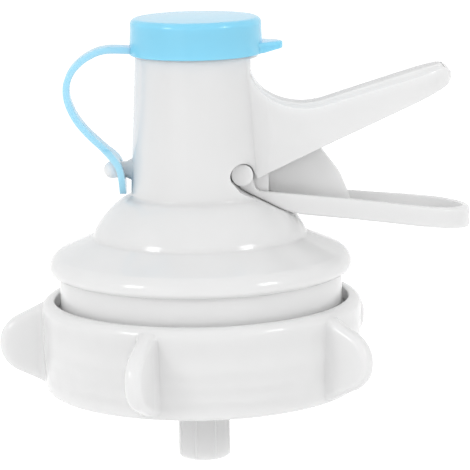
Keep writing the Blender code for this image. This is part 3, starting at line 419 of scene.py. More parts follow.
def smooth_line(points, count):
    """A rounder line through the same points, with some points added in each stretch."""
    line = []
    for index in range(len(points) - 1):
        before = points[max(index - 1, 0)]
        start = points[index]
        end = points[index + 1]
        after = points[min(index + 2, len(points) - 1)]
        for step in range(count):
            t = step / count
            place = []
            for axis in range(2):
                rise = end[axis] - start[axis]
                lead = (end[axis] - before[axis]) / 2
                trail = (after[axis] - start[axis]) / 2
                square = 3 * rise - 2 * lead - trail
                cube = lead + trail - 2 * rise
                place.append(start[axis] + lead * t + square * t**2 + cube * t**3)
            line.append(tuple(place))
    line.append(points[-1])
    return line


def offset_line(points, distance):
    """The line moved sideways, to its left for a positive distance."""
    moved = []
    for index, place in enumerate(points):
        before = points[max(index - 1, 0)]
        after = points[min(index + 1, len(points) - 1)]
        run = after[0] - before[0]
        rise = after[1] - before[1]
        length = math.hypot(run, rise)
        moved.append((place[0] - rise / length * distance, place[1] + run / length * distance))
    return moved


def mirrored_outline(half):
    return half + [(x, -y) for x, y in reversed(half)]


def ribbon(route, thickness):
    return offset_line(route, thickness / 2) + offset_line(route, -thickness / 2)[::-1]


def show(name, data):
    """A new object in the scene."""
    item = bpy.data.objects.new(name, data)
    bpy.context.scene.collection.objects.link(item)
    return item


def draft(name, shape):
    """A working object that is removed once the pieces are made."""
    item = bpy.data.objects.new(name, shape)
    drafts.objects.link(item)
    return item


def plain_mesh(item):
    """The mesh that an object shows, put in its place."""
    bpy.context.view_layer.update()
    graph = bpy.context.evaluated_depsgraph_get()
    mesh = bpy.data.meshes.new_from_object(item.evaluated_get(graph))
    mesh.transform(item.matrix_world)
    return mesh


def plate(name, outline, thickness, edge=0.0, facing="Z", middle=0.0):
    """A flat outline made solid. It lies in XY, or stands in XZ (facing Y) or in YZ (facing X)."""
    curve = bpy.data.curves.new(name, "CURVE")
    curve.dimensions = "2D"
    curve.fill_mode = "BOTH"
    curve.extrude = thickness / 2 - edge
    curve.bevel_depth = edge
    curve.bevel_resolution = EDGE_STEPS
    curve.offset = -edge
    line = curve.splines.new("POLY")
    line.points.add(len(outline) - 1)
    for point, place in zip(line.points, outline):
        point.co = (*place, 0.0, 1.0)
    line.use_cyclic_u = True
    item = draft(name, curve)
    if facing == "Z":
        item.location.z = middle
    else:
        item.rotation_euler.x = math.pi / 2
    if facing == "Y":
        item.location.y = middle
    if facing == "X":
        item.rotation_euler.z = math.pi / 2
        item.location.x = middle
    mesh = plain_mesh(item)
    weld(mesh)
    bpy.data.objects.remove(item, do_unlink=True)
    return draft(name, mesh)


def mesh_from(work, name):
    mesh = bpy.data.meshes.new(name)
    work.to_mesh(mesh)
    work.free()
    return mesh


def weld(mesh):
    """Merge doubled points and turn the faces out."""
    work = bmesh.new()
    work.from_mesh(mesh)
    bmesh.ops.remove_doubles(work, verts=work.verts, dist=MERGE_DISTANCE)
    bmesh.ops.recalc_face_normals(work, faces=work.faces)
    work.to_mesh(mesh)
    work.free()


def turned(name, profile, facets, closed=True):
    """A profile of (radius, height) points turned round Z, listed down its outer side."""
    work = bmesh.new()
    points = [work.verts.new((radius, 0.0, height)) for radius, height in profile]
    for first, second in zip(points, points[1:]):
        work.edges.new((first, second))
    if closed:
        work.edges.new((points[-1], points[0]))
    item = draft(name, mesh_from(work, name))
    turn = item.modifiers.new("turn", "SCREW")
    turn.axis = "Z"
    turn.angle = math.tau
    turn.steps = facets
    turn.render_steps = facets
    turn.use_merge_vertices = True
    turn.merge_threshold = SEAM_DISTANCE
    return item


def rod(name, radius, start, end, facets):
    work = bmesh.new()
    bmesh.ops.create_cone(
        work, cap_ends=True, segments=facets, radius1=radius, radius2=radius, depth=(end - start).length
    )
    turn = (end - start).to_track_quat("Z", "Y").to_matrix().to_4x4()
    bmesh.ops.transform(work, matrix=Matrix.Translation((start + end) / 2) @ turn, verts=work.verts)
    return draft(name, mesh_from(work, name))


def block(name, low, high):
    work = bmesh.new()
    bmesh.ops.create_cube(work, size=1.0)
    placing = Matrix.Translation((low + high) / 2) @ Matrix.Diagonal((*(high - low), 1.0))
    bmesh.ops.transform(work, matrix=placing, verts=work.verts)
    return draft(name, mesh_from(work, name))


def combine(item, other, operation):
    step = item.modifiers.new(operation.lower(), "BOOLEAN")
    step.operation = operation
    step.solver = "MANIFOLD"
    step.object = other


def join(item, other):
    combine(item, other, "UNION")


def cut(item, other):
    combine(item, other, "DIFFERENCE")


def trim(item, other):
    combine(item, other, "INTERSECT")


def crossed_plates(name, side, width, plan, height):
    """A side outline made solid across, trimmed to an outline seen from above."""
    item = plate(name, side, width, facing="Y")
    trim(item, plate(name + "_plan", plan, height))
    return item


def round_edges(item, width, segments=4):
    bevel = item.modifiers.new("round", "BEVEL")
    bevel.width = width
    bevel.segments = segments
    bevel.use_clamp_overlap = False
    bevel.limit_method = "ANGLE"
    bevel.angle_limit = ROUNDED_ANGLE


def settle(item, name, material, body, nodes):
    """Turn a finished draft into a plain piece that rides on a body and stands for its parts."""
    mesh = plain_mesh(item)
    weld(mesh)
    mesh.name = name
    mesh.materials.clear()
    mesh.materials.append(material)
    mesh.polygons.foreach_set("material_index", [0] * len(mesh.polygons))
    mesh.shade_smooth()
    mesh.set_sharp_from_angle(angle=CRISP_ANGLE)
    piece = show(name, mesh)
    if body:
        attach(piece, body)
    if nodes:
        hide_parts(*nodes)
    return piece


# Geometry Nodes trees


def new_tree(name, inputs):
    """An empty geometry tree with named inputs, given as (name, socket type, default)."""
    tree = bpy.data.node_groups.new(name, "GeometryNodeTree")
    tree.interface.new_socket("Geometry", in_out="INPUT", socket_type="NodeSocketGeometry")
    for label, kind, value in inputs:
        socket = tree.interface.new_socket(label, in_out="INPUT", socket_type=kind)
        if value is not None:
            socket.default_value = value
    tree.interface.new_socket("Geometry", in_out="OUTPUT", socket_type="NodeSocketGeometry")
    return tree, tree.nodes.new("NodeGroupInput"), tree.nodes.new("NodeGroupOutput")


def finish_tree(tree, given, result, shape):
    """Last steps of a tree: copies made real, the material set, the shape handed out."""
    nodes, links = tree.nodes, tree.links
    real = nodes.new("GeometryNodeRealizeInstances")
    paint = nodes.new("GeometryNodeSetMaterial")
    links.new(shape, real.inputs["Geometry"])
    links.new(real.outputs["Geometry"], paint.inputs["Geometry"])
    links.new(given.outputs["Material"], paint.inputs["Material"])
    links.new(paint.outputs["Geometry"], result.inputs["Geometry"])
    return tree


def helix_tree():
    """A wire or a ridge wound round Z: its turns, radius, height and low end, and its round section."""
    tree, given, result = new_tree(
        "wound_round_the_axis",
        [
            ("Turns", "NodeSocketFloat", 3.0),
            ("Radius", "NodeSocketFloat", 0.01),
            ("Height", "NodeSocketFloat", 0.01),
            ("Low", "NodeSocketFloat", 0.0),
            ("Section Sides", "NodeSocketInt", 12),
            ("Section Radius", "NodeSocketFloat", 0.0004),
            ("Steps", "NodeSocketInt", 48),
            ("Material", "NodeSocketMaterial", None),
        ],
    )
    nodes, links = tree.nodes, tree.links
    spiral = nodes.new("GeometryNodeCurveSpiral")
    section = nodes.new("GeometryNodeCurvePrimitiveCircle")
    for value, node, socket in (
        ("Steps", spiral, "Resolution"),
        ("Turns", spiral, "Rotations"),
        ("Radius", spiral, "Start Radius"),
        ("Radius", spiral, "End Radius"),
        ("Height", spiral, "Height"),
        ("Section Sides", section, "Resolution"),
        ("Section Radius", section, "Radius"),
    ):
        links.new(given.outputs[value], node.inputs[socket])
    sweep = nodes.new("GeometryNodeCurveToMesh")
    sweep.inputs["Fill Caps"].default_value = True
    links.new(spiral.outputs["Curve"], sweep.inputs["Curve"])
    links.new(section.outputs["Curve"], sweep.inputs["Profile Curve"])
    lift = nodes.new("GeometryNodeTransform")
    place = nodes.new("ShaderNodeCombineXYZ")
    links.new(given.outputs["Low"], place.inputs["Z"])
    links.new(place.outputs["Vector"], lift.inputs["Translation"])
    links.new(sweep.outputs["Mesh"], lift.inputs["Geometry"])
    return finish_tree(tree, given, result, lift.outputs["Geometry"])


def ring_tree():
    """Copies of the incoming shape set evenly round Z: how many and the first one's angle."""
    tree, given, result = new_tree(
        "copies_round_the_axis",
        [
            ("Count", "NodeSocketInt", 5),
            ("First Angle", "NodeSocketFloat", 0.0),
            ("Material", "NodeSocketMaterial", None),
        ],
    )
    nodes, links = tree.nodes, tree.links
    points = nodes.new("GeometryNodePoints")
    links.new(given.outputs["Count"], points.inputs["Count"])
    index = nodes.new("GeometryNodeInputIndex")
    step = nodes.new("ShaderNodeMath")
    step.operation = "DIVIDE"
    step.inputs[0].default_value = math.tau
    links.new(given.outputs["Count"], step.inputs[1])
    angle = nodes.new("ShaderNodeMath")
    angle.operation = "MULTIPLY_ADD"
    links.new(index.outputs["Index"], angle.inputs[0])
    links.new(step.outputs["Value"], angle.inputs[1])
    links.new(given.outputs["First Angle"], angle.inputs[2])
    turn = nodes.new("ShaderNodeCombineXYZ")
    links.new(angle.outputs["Value"], turn.inputs["Z"])
    copies = nodes.new("GeometryNodeInstanceOnPoints")
    links.new(points.outputs["Points"], copies.inputs["Points"])
    links.new(given.outputs["Geometry"], copies.inputs["Instance"])
    links.new(turn.outputs["Vector"], copies.inputs["Rotation"])
    return finish_tree(tree, given, result, copies.outputs["Instances"])


def run_tree(item, tree, values):
    """Run a tree on a draft with its inputs set by their sockets' identifiers."""
    step = item.modifiers.new(tree.name, "NODES")
    step.node_group = tree
    for socket in tree.interface.items_tree:
        if socket.in_out == "INPUT" and socket.name in values:
            step[socket.identifier] = values[socket.name]
    mesh = plain_mesh(item)
    name = item.name
    bpy.data.objects.remove(item, do_unlink=True)
    return draft(name, mesh)


# Materials


def new_material(name):
    """A material, the nodes and links of its tree, and its main shader."""
    material = bpy.data.materials.new(name)
    material.use_nodes = True
    tree = material.node_tree
    return material, tree.nodes, tree.links, tree.nodes["Principled BSDF"]


def spread(nodes, links, value, levels):
    """A value between nought and one, spread between two levels."""
    span = nodes.new("ShaderNodeMapRange")
    span.inputs["To Min"].default_value = levels[0]
    span.inputs["To Max"].default_value = levels[1]
    links.new(value, span.inputs["Value"])
    return span.outputs["Result"]


def noise(nodes, links, place, scale, detail):
    """A noise texture laid out by the piece's own coordinates."""
    texture = nodes.new("ShaderNodeTexNoise")
    texture.inputs["Scale"].default_value = scale
    texture.inputs["Detail"].default_value = detail
    links.new(place.outputs["Object"], texture.inputs["Vector"])
    return texture.outputs["Fac"]


def moulded_plastic(name, colour, roughness, shade=0.02, grain=0.15, glow=0.0):
    """Glossy moulded plastic: faint cloudiness in its colour, uneven gloss and a fine surface ripple."""
    material, nodes, links, shader = new_material(name)
    place = nodes.new("ShaderNodeTexCoord")
    cloud = noise(nodes, links, place, CLOUD_SCALE, detail=3.0)
    tone = nodes.new("ShaderNodeValToRGB")
    darker = [value * (1.0 - shade) for value in colour]
    for stop, position, tint in zip(tone.color_ramp.elements, CLOUD_RANGE, (darker, colour)):
        stop.position = position
        stop.color = (*tint, 1.0)
    links.new(cloud, tone.inputs["Fac"])
    links.new(tone.outputs["Color"], shader.inputs["Base Color"])
    patches = noise(nodes, links, place, PATCH_SCALE, detail=4.0)
    gloss = spread(nodes, links, patches, [roughness * share for share in ROUGHNESS_SHARES])
    links.new(gloss, shader.inputs["Roughness"])
    ripple = noise(nodes, links, place, RIPPLE_SCALE, detail=2.0)
    relief = nodes.new("ShaderNodeBump")
    relief.inputs["Strength"].default_value = grain
    relief.inputs["Distance"].default_value = RIPPLE_DEPTH
    links.new(ripple, relief.inputs["Height"])
    links.new(relief.outputs["Normal"], shader.inputs["Normal"])
    shader.inputs["IOR"].default_value = PLASTIC_IOR
    if glow:
        shader.inputs["Subsurface Weight"].default_value = glow
        shader.inputs["Subsurface Radius"].default_value = (1.0, 1.0, 1.0)
        shader.inputs["Subsurface Scale"].default_value = GLOW_DEPTH
    return material


def drawn_steel(name):
    """Stainless wire with fine lines from drawing."""
    material, nodes, links, shader = new_material(name)
    shader.inputs["Metallic"].default_value = 1.0
    shader.inputs["Base Color"].default_value = (0.55, 0.56, 0.57, 1.0)
    place = nodes.new("ShaderNodeTexCoord")
    lines = noise(nodes, links, place, WIRE_SCALE, detail=3.0)
    links.new(spread(nodes, links, lines, WIRE_ROUGHNESS), shader.inputs["Roughness"])
    return material


# Body of the spout with the fixed handle


def on_pivot_axis(y):
    return Vector((PIVOT[0], y, PIVOT[1]))


def tube_radius(height):
    share = (height - DOME_TOP) / (TUBE_TOP - DOME_TOP)
    return share_of(TUBE_BASE_RADIUS, TUBE_TOP_RADIUS, share)


def body_profile():
    """Outer side of the turned body from the neck's top down to the flange, with its fillets."""
    middle = SHOULDER_RADIUS - SHOULDER_ROUND
    shoulder = arc((middle, SHOULDER_HEIGHT), SHOULDER_ROUND, math.pi / 2 - SHOULDER_SLOPE, 0.0)
    foot_height = shoulder[0][1] + (shoulder[0][0] - DOME_RADIUS) * math.tan(SHOULDER_SLOPE)
    dome = super_arc((DOME_RADIUS, foot_height), (TUBE_BASE_RADIUS, DOME_TOP), DOME_FULLNESS)
    low, high = foot_height + DOME_FOOT_FILLET, DOME_TOP - TUBE_FOOT_FILLET / 3
    upper = [place for place in dome if low < place[1] < high]
    foot = rounded_line(
        [(*upper[0], 0.0), (DOME_RADIUS, foot_height, DOME_FOOT_FILLET), (*shoulder[0], 0.0)],
        count=FILLET_FACETS,
    )
    crown = rounded_line(
        [
            (tube_radius(DOME_TOP + 3 * TUBE_FOOT_FILLET), DOME_TOP + 3 * TUBE_FOOT_FILLET, 0.0),
            (TUBE_BASE_RADIUS, DOME_TOP, TUBE_FOOT_FILLET),
            (*upper[-1], 0.0),
        ],
        count=FILLET_FACETS,
    )
    under = arc((SKIRT_RADIUS, 0.0), SHOULDER_RADIUS - SKIRT_RADIUS, 0.0, -math.pi / 2)
    flattening = SHOULDER_UNDER_DEPTH / (SHOULDER_RADIUS - SKIRT_RADIUS)
    under = [(radius, SHOULDER_HEIGHT + height * flattening) for radius, height in under]
    lip = rounded_line(
        [
            (SKIRT_RADIUS, FLANGE_TOP + 4 * FIT, 0.0),
            (SKIRT_RADIUS, FLANGE_TOP, FIT),
            (FLANGE_RADIUS, FLANGE_TOP, FIT),
            (FLANGE_RADIUS, FLANGE_BOTTOM, FIT),
            (SKIRT_INNER_RADIUS, FLANGE_BOTTOM, 0.0),
        ],
        count=4,
    )
    neck = rounded_line(
        [
            (0.0, NECK_TOP, 0.0),
            (NECK_RADIUS, NECK_TOP, FIT),
            (NECK_RADIUS, TUBE_TOP, 0.0),
            (TUBE_TOP_RADIUS, TUBE_TOP, FIT / 2),
            (tube_radius(TUBE_TOP - 4 * FIT), TUBE_TOP - 4 * FIT, 0.0),
        ],
        count=4,
    )
    return neck + crown + upper[::-1][1:-1] + foot + shoulder[1:] + under[1:] + lip + [(0.0, FLANGE_BOTTOM)]


def chamber_profile():
    """Hollow of the body: throat, seat lip, dome, skirt and the ledge for the guide cage."""
    ceiling = (TUBE_BASE_RADIUS - DOME_WALL / 2, DOME_CEILING)
    dome = super_arc((DOME_RADIUS - DOME_WALL, DOME_INNER_FOOT), ceiling, DOME_FULLNESS, ARC_FACETS)
    return (
        [(0.0, THROAT_TOP + OVERRUN), (THROAT_RADIUS, THROAT_TOP + OVERRUN)]
        + [(THROAT_RADIUS, SEAT_HEIGHT), (SEAT_LIP_RADIUS, SEAT_HEIGHT), (SEAT_LIP_RADIUS, DOME_CEILING)]
        + dome[::-1]
        + [(LEDGE_RADIUS, SHOULDER_CEILING), (LEDGE_RADIUS, LEDGE_HEIGHT)]
        + [(SKIRT_INNER_RADIUS, LEDGE_HEIGHT), (SKIRT_INNER_RADIUS, FLANGE_BOTTOM - OVERRUN)]
        + [(0.0, FLANGE_BOTTOM - OVERRUN)]
    )


def bore_outline():
    """Round bore with a flat behind the pad."""
    half = math.acos((PAD_FACE - TUBE_WALL) / BORE_RADIUS)
    return arc((0.0, 0.0), BORE_RADIUS, half, math.tau - half, LARGE_FACETS)


def handle_top(inset=0.0):
    """Upper line of the handle: a hollow sweep from the pad, or inset from the lug, to the straight rise."""
    across = SCOOP_BOTTOM - PAD_FACE + inset
    deep = SCOOP_DEPTH + inset
    start = -math.pi / 2
    if inset:
        start = -math.asin((SCOOP_BOTTOM - LUG_FACE) / across)
    last = math.atan(math.tan(HANDLE_RISE) * across / deep)
    line = []
    for step in range(3 * ARC_FACETS + 1):
        angle = share_of(start, last, step / (3 * ARC_FACETS))
        line.append((SCOOP_BOTTOM + across * math.sin(angle), SCOOP_TOP - deep * math.cos(angle)))
    return line


def handle_nose():
    """Middle of the handle's round nose and the rise of the straight under edge that runs into it."""
    line_end = handle_top()[-1]
    middle_x = HANDLE_REACH - HANDLE_NOSE_RADIUS
    rise = (middle_x - line_end[0]) * math.tan(HANDLE_RISE)
    middle = (middle_x, line_end[1] + rise - HANDLE_NOSE_RADIUS / math.cos(HANDLE_RISE))
    run = middle[0] - HANDLE_FOOT[0]
    climb = middle[1] - HANDLE_FOOT[1]
    return middle, math.atan2(climb, run) - math.asin(HANDLE_NOSE_RADIUS / math.hypot(run, climb))


def handle_under(x):
    return HANDLE_FOOT[1] + (x - HANDLE_FOOT[0]) * math.tan(handle_nose()[1])


def handle_plan(inset=0.0):
    """Half outline of the handle seen from above."""
    length = HANDLE_REACH - PAD_FACE - inset
    half = []
    for reach_share, width_share in HANDLE_PLAN_SHARES:
        half.append((PAD_FACE + length * reach_share, HANDLE_HALF_WIDTH * width_share - inset))
    tip = HANDLE_HALF_WIDTH * HANDLE_PLAN_SHARES[-1][1]
    return [(x, max(y, tip)) for x, y in smooth_line(half, count=3)]


def handle_shell():
    middle, under = handle_nose()
    nose = arc(middle, HANDLE_NOSE_RADIUS, math.pi / 2 + HANDLE_RISE, under - math.pi / 2, count=6)
    back = [(PIVOT[0], handle_under(PIVOT[0])), (PIVOT[0], PAD_TOP)]
    side = [(PAD_FACE, PAD_TOP)] + handle_top() + nose + back
    half = handle_plan()
    half.append((HANDLE_REACH + OVERRUN, half[-1][1]))
    plan = mirrored_outline(half)
    handle = crossed_plates("handle", side, 4 * HANDLE_HALF_WIDTH, plan, 4 * HANDLE_REACH)
    round_edges(handle, HANDLE_EDGE, segments=2)
    return handle


def handle_hollow():
    """Space inside the handle, open below."""
    line = handle_top(HANDLE_WALL)
    end = HANDLE_REACH - 2 * HANDLE_NOSE_RADIUS
    rise = (end - line[-1][0]) * math.tan(HANDLE_RISE)
    bottom = HANDLE_FOOT[1] - OVERRUN
    side = line + [(end, line[-1][1] + rise), (end, bottom), (LUG_FACE, bottom)]
    plan = mirrored_outline(handle_plan(HANDLE_WALL))
    return crossed_plates("handle_hollow", side, 4 * HANDLE_HALF_WIDTH, plan, 4 * HANDLE_REACH)


def lever_top(x):
    slope = (LEVER_TIP_DROP - LEVER_ROOT_DROP) / (LEVER_REACH - LEVER_ROOT_X)
    return PIVOT[1] - LEVER_ROOT_DROP - (x - PIVOT[0] - LEVER_ROOT_X) * slope


def arm_under(drop=0.0):
    """Under edge of the lever's arms from the eye to the tray, moved down by a drop."""
    deep = PIVOT[1] - lever_top(PIVOT[0] + TRAY_START) + TRAY_HEIGHT
    line = []
    for reach_share, drop_share in ARM_UNDER_SHARES:
        line.append((PIVOT[0] + TRAY_START * reach_share, PIVOT[1] - deep * drop_share - drop))
    return smooth_line(line, count=4)


def pocket_outline():
    """Side recess in which an arm of the lever swings."""
    corner = PIVOT[0] + POCKET_CORNER_REACH
    end = PIVOT[0] + POCKET_REACH
    eye = arc(PIVOT, EYE_RADIUS + POCKET_FIT, POCKET_CORNER_ANGLE, EYE_HEEL_ANGLE, 3 * ARC_FACETS)
    under = arm_under(POCKET_FIT)
    high = [(end, handle_under(end) - FIT), (corner, handle_under(corner) - FIT / 2)]
    return eye + under + [(end, under[-1][1] - POCKET_FIT)] + high


def strap_peg():
    """Peg along -X that the strap's eyelet sits on, with a soft root and a round head."""
    root = tube_radius(PEG_HEIGHT)
    ball = (0.0, PEG_END - PEG_HEAD_RADIUS)
    profile = arc(ball, PEG_HEAD_RADIUS, math.pi / 2, -math.acos(PEG_RADIUS / PEG_HEAD_RADIUS))
    foot = [
        (PEG_RADIUS, root + 2 * PEG_FOOT_LENGTH, 0.0),
        (PEG_RADIUS, root + PEG_FOOT_LENGTH, PEG_FOOT_LENGTH),
        (PEG_FOOT_RADIUS, root - PEG_FOOT_LENGTH / 2, 0.0),
    ]
    profile += rounded_line(foot)
    profile += [(PEG_FOOT_RADIUS, root - OVERRUN), (0.0, root - OVERRUN)]
    peg = turned("peg", profile, SMALL_FACETS, closed=False)
    peg.rotation_euler.y = -math.pi / 2
    peg.location.z = PEG_HEIGHT
    return peg


def make_spout(material):
    body = turned("spout", body_profile(), LARGE_FACETS, closed=False)
    front = [(x, height + FIT) for x, height in handle_top()]
    front = [(PAD_FACE - FIT, PAD_TOP - FIT), (PAD_FACE - FIT, front[0][1])] + front
    front.append((front[-1][0], PAD_TOP - FIT))
    cut(body, plate("pad_cut", front, 4 * TUBE_BASE_RADIUS, facing="Y"))
    join(body, handle_shell())
    low = Vector((PIVOT[0], -LUG_HALF_WIDTH, LUG_FOOT))
    high = Vector((LUG_FACE, LUG_HALF_WIDTH, LUG_TOP))
    join(body, block("lug", low, high))
    join(body, strap_peg())
    cut(body, turned("chamber", chamber_profile(), LARGE_FACETS, closed=False))
    tall = NECK_TOP + OVERRUN - THROAT_TOP
    cut(body, plate("bore", bore_outline(), tall, middle=THROAT_TOP + tall / 2))
    cut(body, handle_hollow())
    low = Vector((THROAT_RADIUS - OVERRUN, -SLOT_HALF_WIDTH, SLOT_LOW))
    high = Vector((LUG_FACE + FIT, SLOT_HALF_WIDTH, SLOT_HIGH))
    cut(body, block("web_slot", low, high))
    hole_start = ARM_INNER - TRUNNION_LENGTH - FIT
    for side, label in SIDES:
        middle = side * (LUG_HALF_WIDTH + TUBE_BASE_RADIUS / 2)
        pocket = plate("pocket_" + label, pocket_outline(), TUBE_BASE_RADIUS, facing="Y", middle=middle)
        cut(body, pocket)
        start = on_pivot_axis(side * hole_start)
        end = on_pivot_axis(side * (ARM_INNER + OVERRUN))
        hole = rod("pivot_hole_" + label, TRUNNION_RADIUS + FIT, start, end, SMALL_FACETS)
        cut(body, hole)
    settle(body, "spout_moulding", material, "spout", ["spout_body"])


# Squeeze lever


def lever_plan(inset=0.0):
    """Half outline of the lever seen from above, from behind the eyes to the tip."""
    half = [(PIVOT[0] - 2 * EYE_RADIUS, ARM_OUTER - inset)]
    curve = [(PIVOT[0] + LEVER_REACH * LEVER_STRAIGHT_SHARE, ARM_OUTER - inset)]
    for reach_share, width_share in LEVER_PLAN_SHARES:
        x = PIVOT[0] + (LEVER_REACH - inset) * reach_share
        curve.append((x, LEVER_HALF_WIDTH * width_share - inset))
    tip = LEVER_HALF_WIDTH * LEVER_PLAN_SHARES[-1][1]
    return half + [(x, max(y, tip)) for x, y in smooth_line(curve, count=5)]


def lever_side():
    """Outline of the lever seen from its side."""
    tip = PIVOT[0] + LEVER_REACH
    front = []
    for reach_share, drop_share in ARM_FRONT_SHARES:
        front.append((PIVOT[0] + LEVER_ROOT_X * reach_share, PIVOT[1] - LEVER_ROOT_DROP * drop_share))
    eye = arc(PIVOT, EYE_RADIUS, 0.0, EYE_HEEL_ANGLE, 3 * ARC_FACETS)
    under = arm_under() + [(tip, lever_top(tip) - TRAY_HEIGHT)]
    return [(tip, lever_top(tip))] + smooth_line(front, count=4) + eye + under


def tray_outline():
    """Side outline of what is taken out between the arms and above the tray's floor."""
    start = PIVOT[0] + TRAY_FLOOR_START
    tip = PIVOT[0] + LEVER_REACH
    down = TRAY_HEIGHT - TRAY_FLOOR
    high = PIVOT[1] + 2 * EYE_RADIUS
    low = lever_top(tip) - 2 * TRAY_HEIGHT
    back = PIVOT[0] - 3 * EYE_RADIUS
    floor = [(start, lever_top(start) - down), (tip, lever_top(tip) - down)]
    return [(back, high), (back, low), (start, low)] + floor + [(tip, high)]


def web_outline():
    """Upright web in the middle of the lever with the nose that reaches into the throat."""
    top = PIVOT[1] + WEB_RISE
    end = PIVOT[0] + WEB_REACH
    inside_floor = TRAY_HEIGHT - TRAY_FLOOR / 2
    drop = top - lever_top(end) + inside_floor
    edge = []
    for reach_share, drop_share in WEB_EDGE_SHARES:
        edge.append((PIVOT[0] + share_of(WEB_TOP_REACH, WEB_REACH, reach_share), top - drop * drop_share))
    start = PIVOT[0] + TRAY_FLOOR_START + TRAY_FLOOR / 2
    under = [(start, lever_top(start) - inside_floor), (PIVOT[0] + WEB_HEEL[0], PIVOT[1] - WEB_HEEL[1])]
    hub = arc(PIVOT, EYE_RADIUS, -math.pi / 4, -math.pi / 2 - math.asin(NOSE_DROP / EYE_RADIUS))
    nose_x, nose_z = PIVOT[0] - NOSE_REACH, PIVOT[1] - NOSE_DROP
    nose = [(PIVOT[0] - EYE_RADIUS, nose_z), (nose_x, nose_z), (nose_x, PIVOT[1] + NOSE_RISE)]
    rise = []
    for reach_share, rise_share in WEB_TOP_SHARES:
        rise.append((PIVOT[0] + WEB_TOP_REACH * reach_share, PIVOT[1] + WEB_RISE * rise_share))
    return smooth_line(edge, count=4) + under + hub + nose + rise


def make_lever(material):
    width, height = 4 * LEVER_HALF_WIDTH, 4 * LEVER_REACH
    lever = crossed_plates("lever", lever_side(), width, mirrored_outline(lever_plan()), height)
    round_edges(lever, LEVER_EDGE)
    plan = mirrored_outline(lever_plan(ARM_THICKNESS))
    cut(lever, crossed_plates("tray", tray_outline(), width, plan, height))
    web = plate("web", web_outline(), WEB_THICKNESS, edge=FIT / 2, facing="Y")
    join(lever, web)
    for side, label in SIDES:
        start = on_pivot_axis(side * (ARM_INNER - TRUNNION_LENGTH))
        end = on_pivot_axis(side * (ARM_INNER + ARM_THICKNESS / 2))
        join(lever, rod("trunnion_" + label, TRUNNION_RADIUS, start, end, SMALL_FACETS))
        face = end + Vector((0.0, side * BOSS_LENGTH, 0.0))
        boss = rod("boss_" + label, EYE_RADIUS - FIT / 6, end, face, SMALL_FACETS)
        join(lever, boss)
    settle(lever, "lever_moulding", material, "lever", ["squeeze_lever"])


# Wing nut


def wing_side():
    """A wing seen from its side: straight edges that run tangent into the round tip."""
    tip = (WING_REACH - WING_TIP_RADIUS, WING_TIP_HEIGHT)
    high = (NUT_TOP_RADIUS - NUT_TOP_ROUND / 5, NUT_TOP - WING_ROOT_DROP)
    low = (NUT_BOTTOM_RADIUS - FIT / 3, NUT_BOTTOM + WING_ROOT_LIFT)
    angles = []
    for place, side in ((high, -1), (low, 1)):
        away = math.atan2(place[1] - tip[1], place[0] - tip[0])
        reach = math.hypot(place[0] - tip[0], place[1] - tip[1])
        angles.append(away + side * math.acos(WING_TIP_RADIUS / reach))
    round_tip = arc(tip, WING_TIP_RADIUS, angles[0], angles[1], 3 * ARC_FACETS)
    inside = [(NUT_MOUTH_RADIUS, high[1]), (NUT_MOUTH_RADIUS, low[1])]
    return inside + [low] + round_tip[::-1] + [high]


def wing_plan():
    """A wing and its root seen from above: it widens in two fillets where it meets the nut."""
    half = WING_THICKNESS / 2
    root = NUT_BOTTOM_RADIUS - FIT
    centre_y = half + WING_ROOT_FILLET
    centre_x = math.sqrt((root + WING_ROOT_FILLET) ** 2 - centre_y**2)
    down = math.atan2(-centre_y, -centre_x)
    fillet = arc((centre_x, centre_y), WING_ROOT_FILLET, -math.pi / 2, down)
    inside = (NUT_MOUTH_RADIUS, fillet[-1][1])
    return mirrored_outline([inside] + fillet[::-1] + [(WING_REACH + OVERRUN, half)])


def make_nut(material, ring):
    top = arc((NUT_TOP_RADIUS - NUT_TOP_ROUND, NUT_TOP - NUT_TOP_ROUND), NUT_TOP_ROUND, math.pi / 2, 0.0)
    centre = (NUT_BOTTOM_RADIUS - NUT_FOOT_ROUND, NUT_BOTTOM + NUT_FOOT_ROUND)
    foot = arc(centre, NUT_FOOT_ROUND, 0.0, -math.pi / 2)
    inner = NUT_MOUTH_RADIUS - OVERRUN
    nut = turned("nut", [(inner, NUT_TOP)] + top + foot + [(inner, NUT_BOTTOM)], LARGE_FACETS)
    wing = crossed_plates("wing", wing_side(), 4 * WING_THICKNESS, wing_plan(), 4 * WING_REACH)
    round_edges(wing, WING_EDGE)
    values = {"Count": WING_COUNT, "First Angle": WING_FIRST_ANGLE, "Material": material}
    join(nut, run_tree(wing, ring, values))
    over = NUT_TOP + OVERRUN
    under = NUT_BOTTOM - OVERRUN
    mouth = rounded_line(
        [
            (NUT_MOUTH_RADIUS + FIT, over, 0.0),
            (NUT_MOUTH_RADIUS + FIT, NUT_TOP, 0.0),
            (NUT_MOUTH_RADIUS, NUT_TOP - FIT, FIT),
            (NUT_MOUTH_RADIUS, NUT_LIP_BOTTOM, 0.0),
        ]
    )
    bore = [(0.0, over)] + mouth
    bore += [(NUT_BORE_RADIUS, NUT_LIP_BOTTOM), (NUT_BORE_RADIUS, under), (0.0, under)]
    cut(nut, turned("nut_bore", bore, LARGE_FACETS, closed=False))
    settle(nut, "winged_ring", material, "nut", ["wing_nut"])


def make_thread(material, helix):
    """Ridge of the nut's screw thread, sunk a little into the wall that carries it."""
    start = draft("thread", bpy.data.meshes.new("thread"))
    values = {
        "Turns": THREAD_TURNS,
        "Radius": NUT_BORE_RADIUS + THREAD_DEPTH / 3,
        "Height": THREAD_TURNS * THREAD_PITCH,
        "Low": THREAD_LOW,
        "Section Sides": RIDGE_FACETS,
        "Section Radius": THREAD_DEPTH,
        "Steps": LARGE_FACETS,
        "Material": material,
    }
    wound = run_tree(start, helix, values)
    settle(wound, "nut_thread", material, "nut", [])


# Cap, strap and eyelet


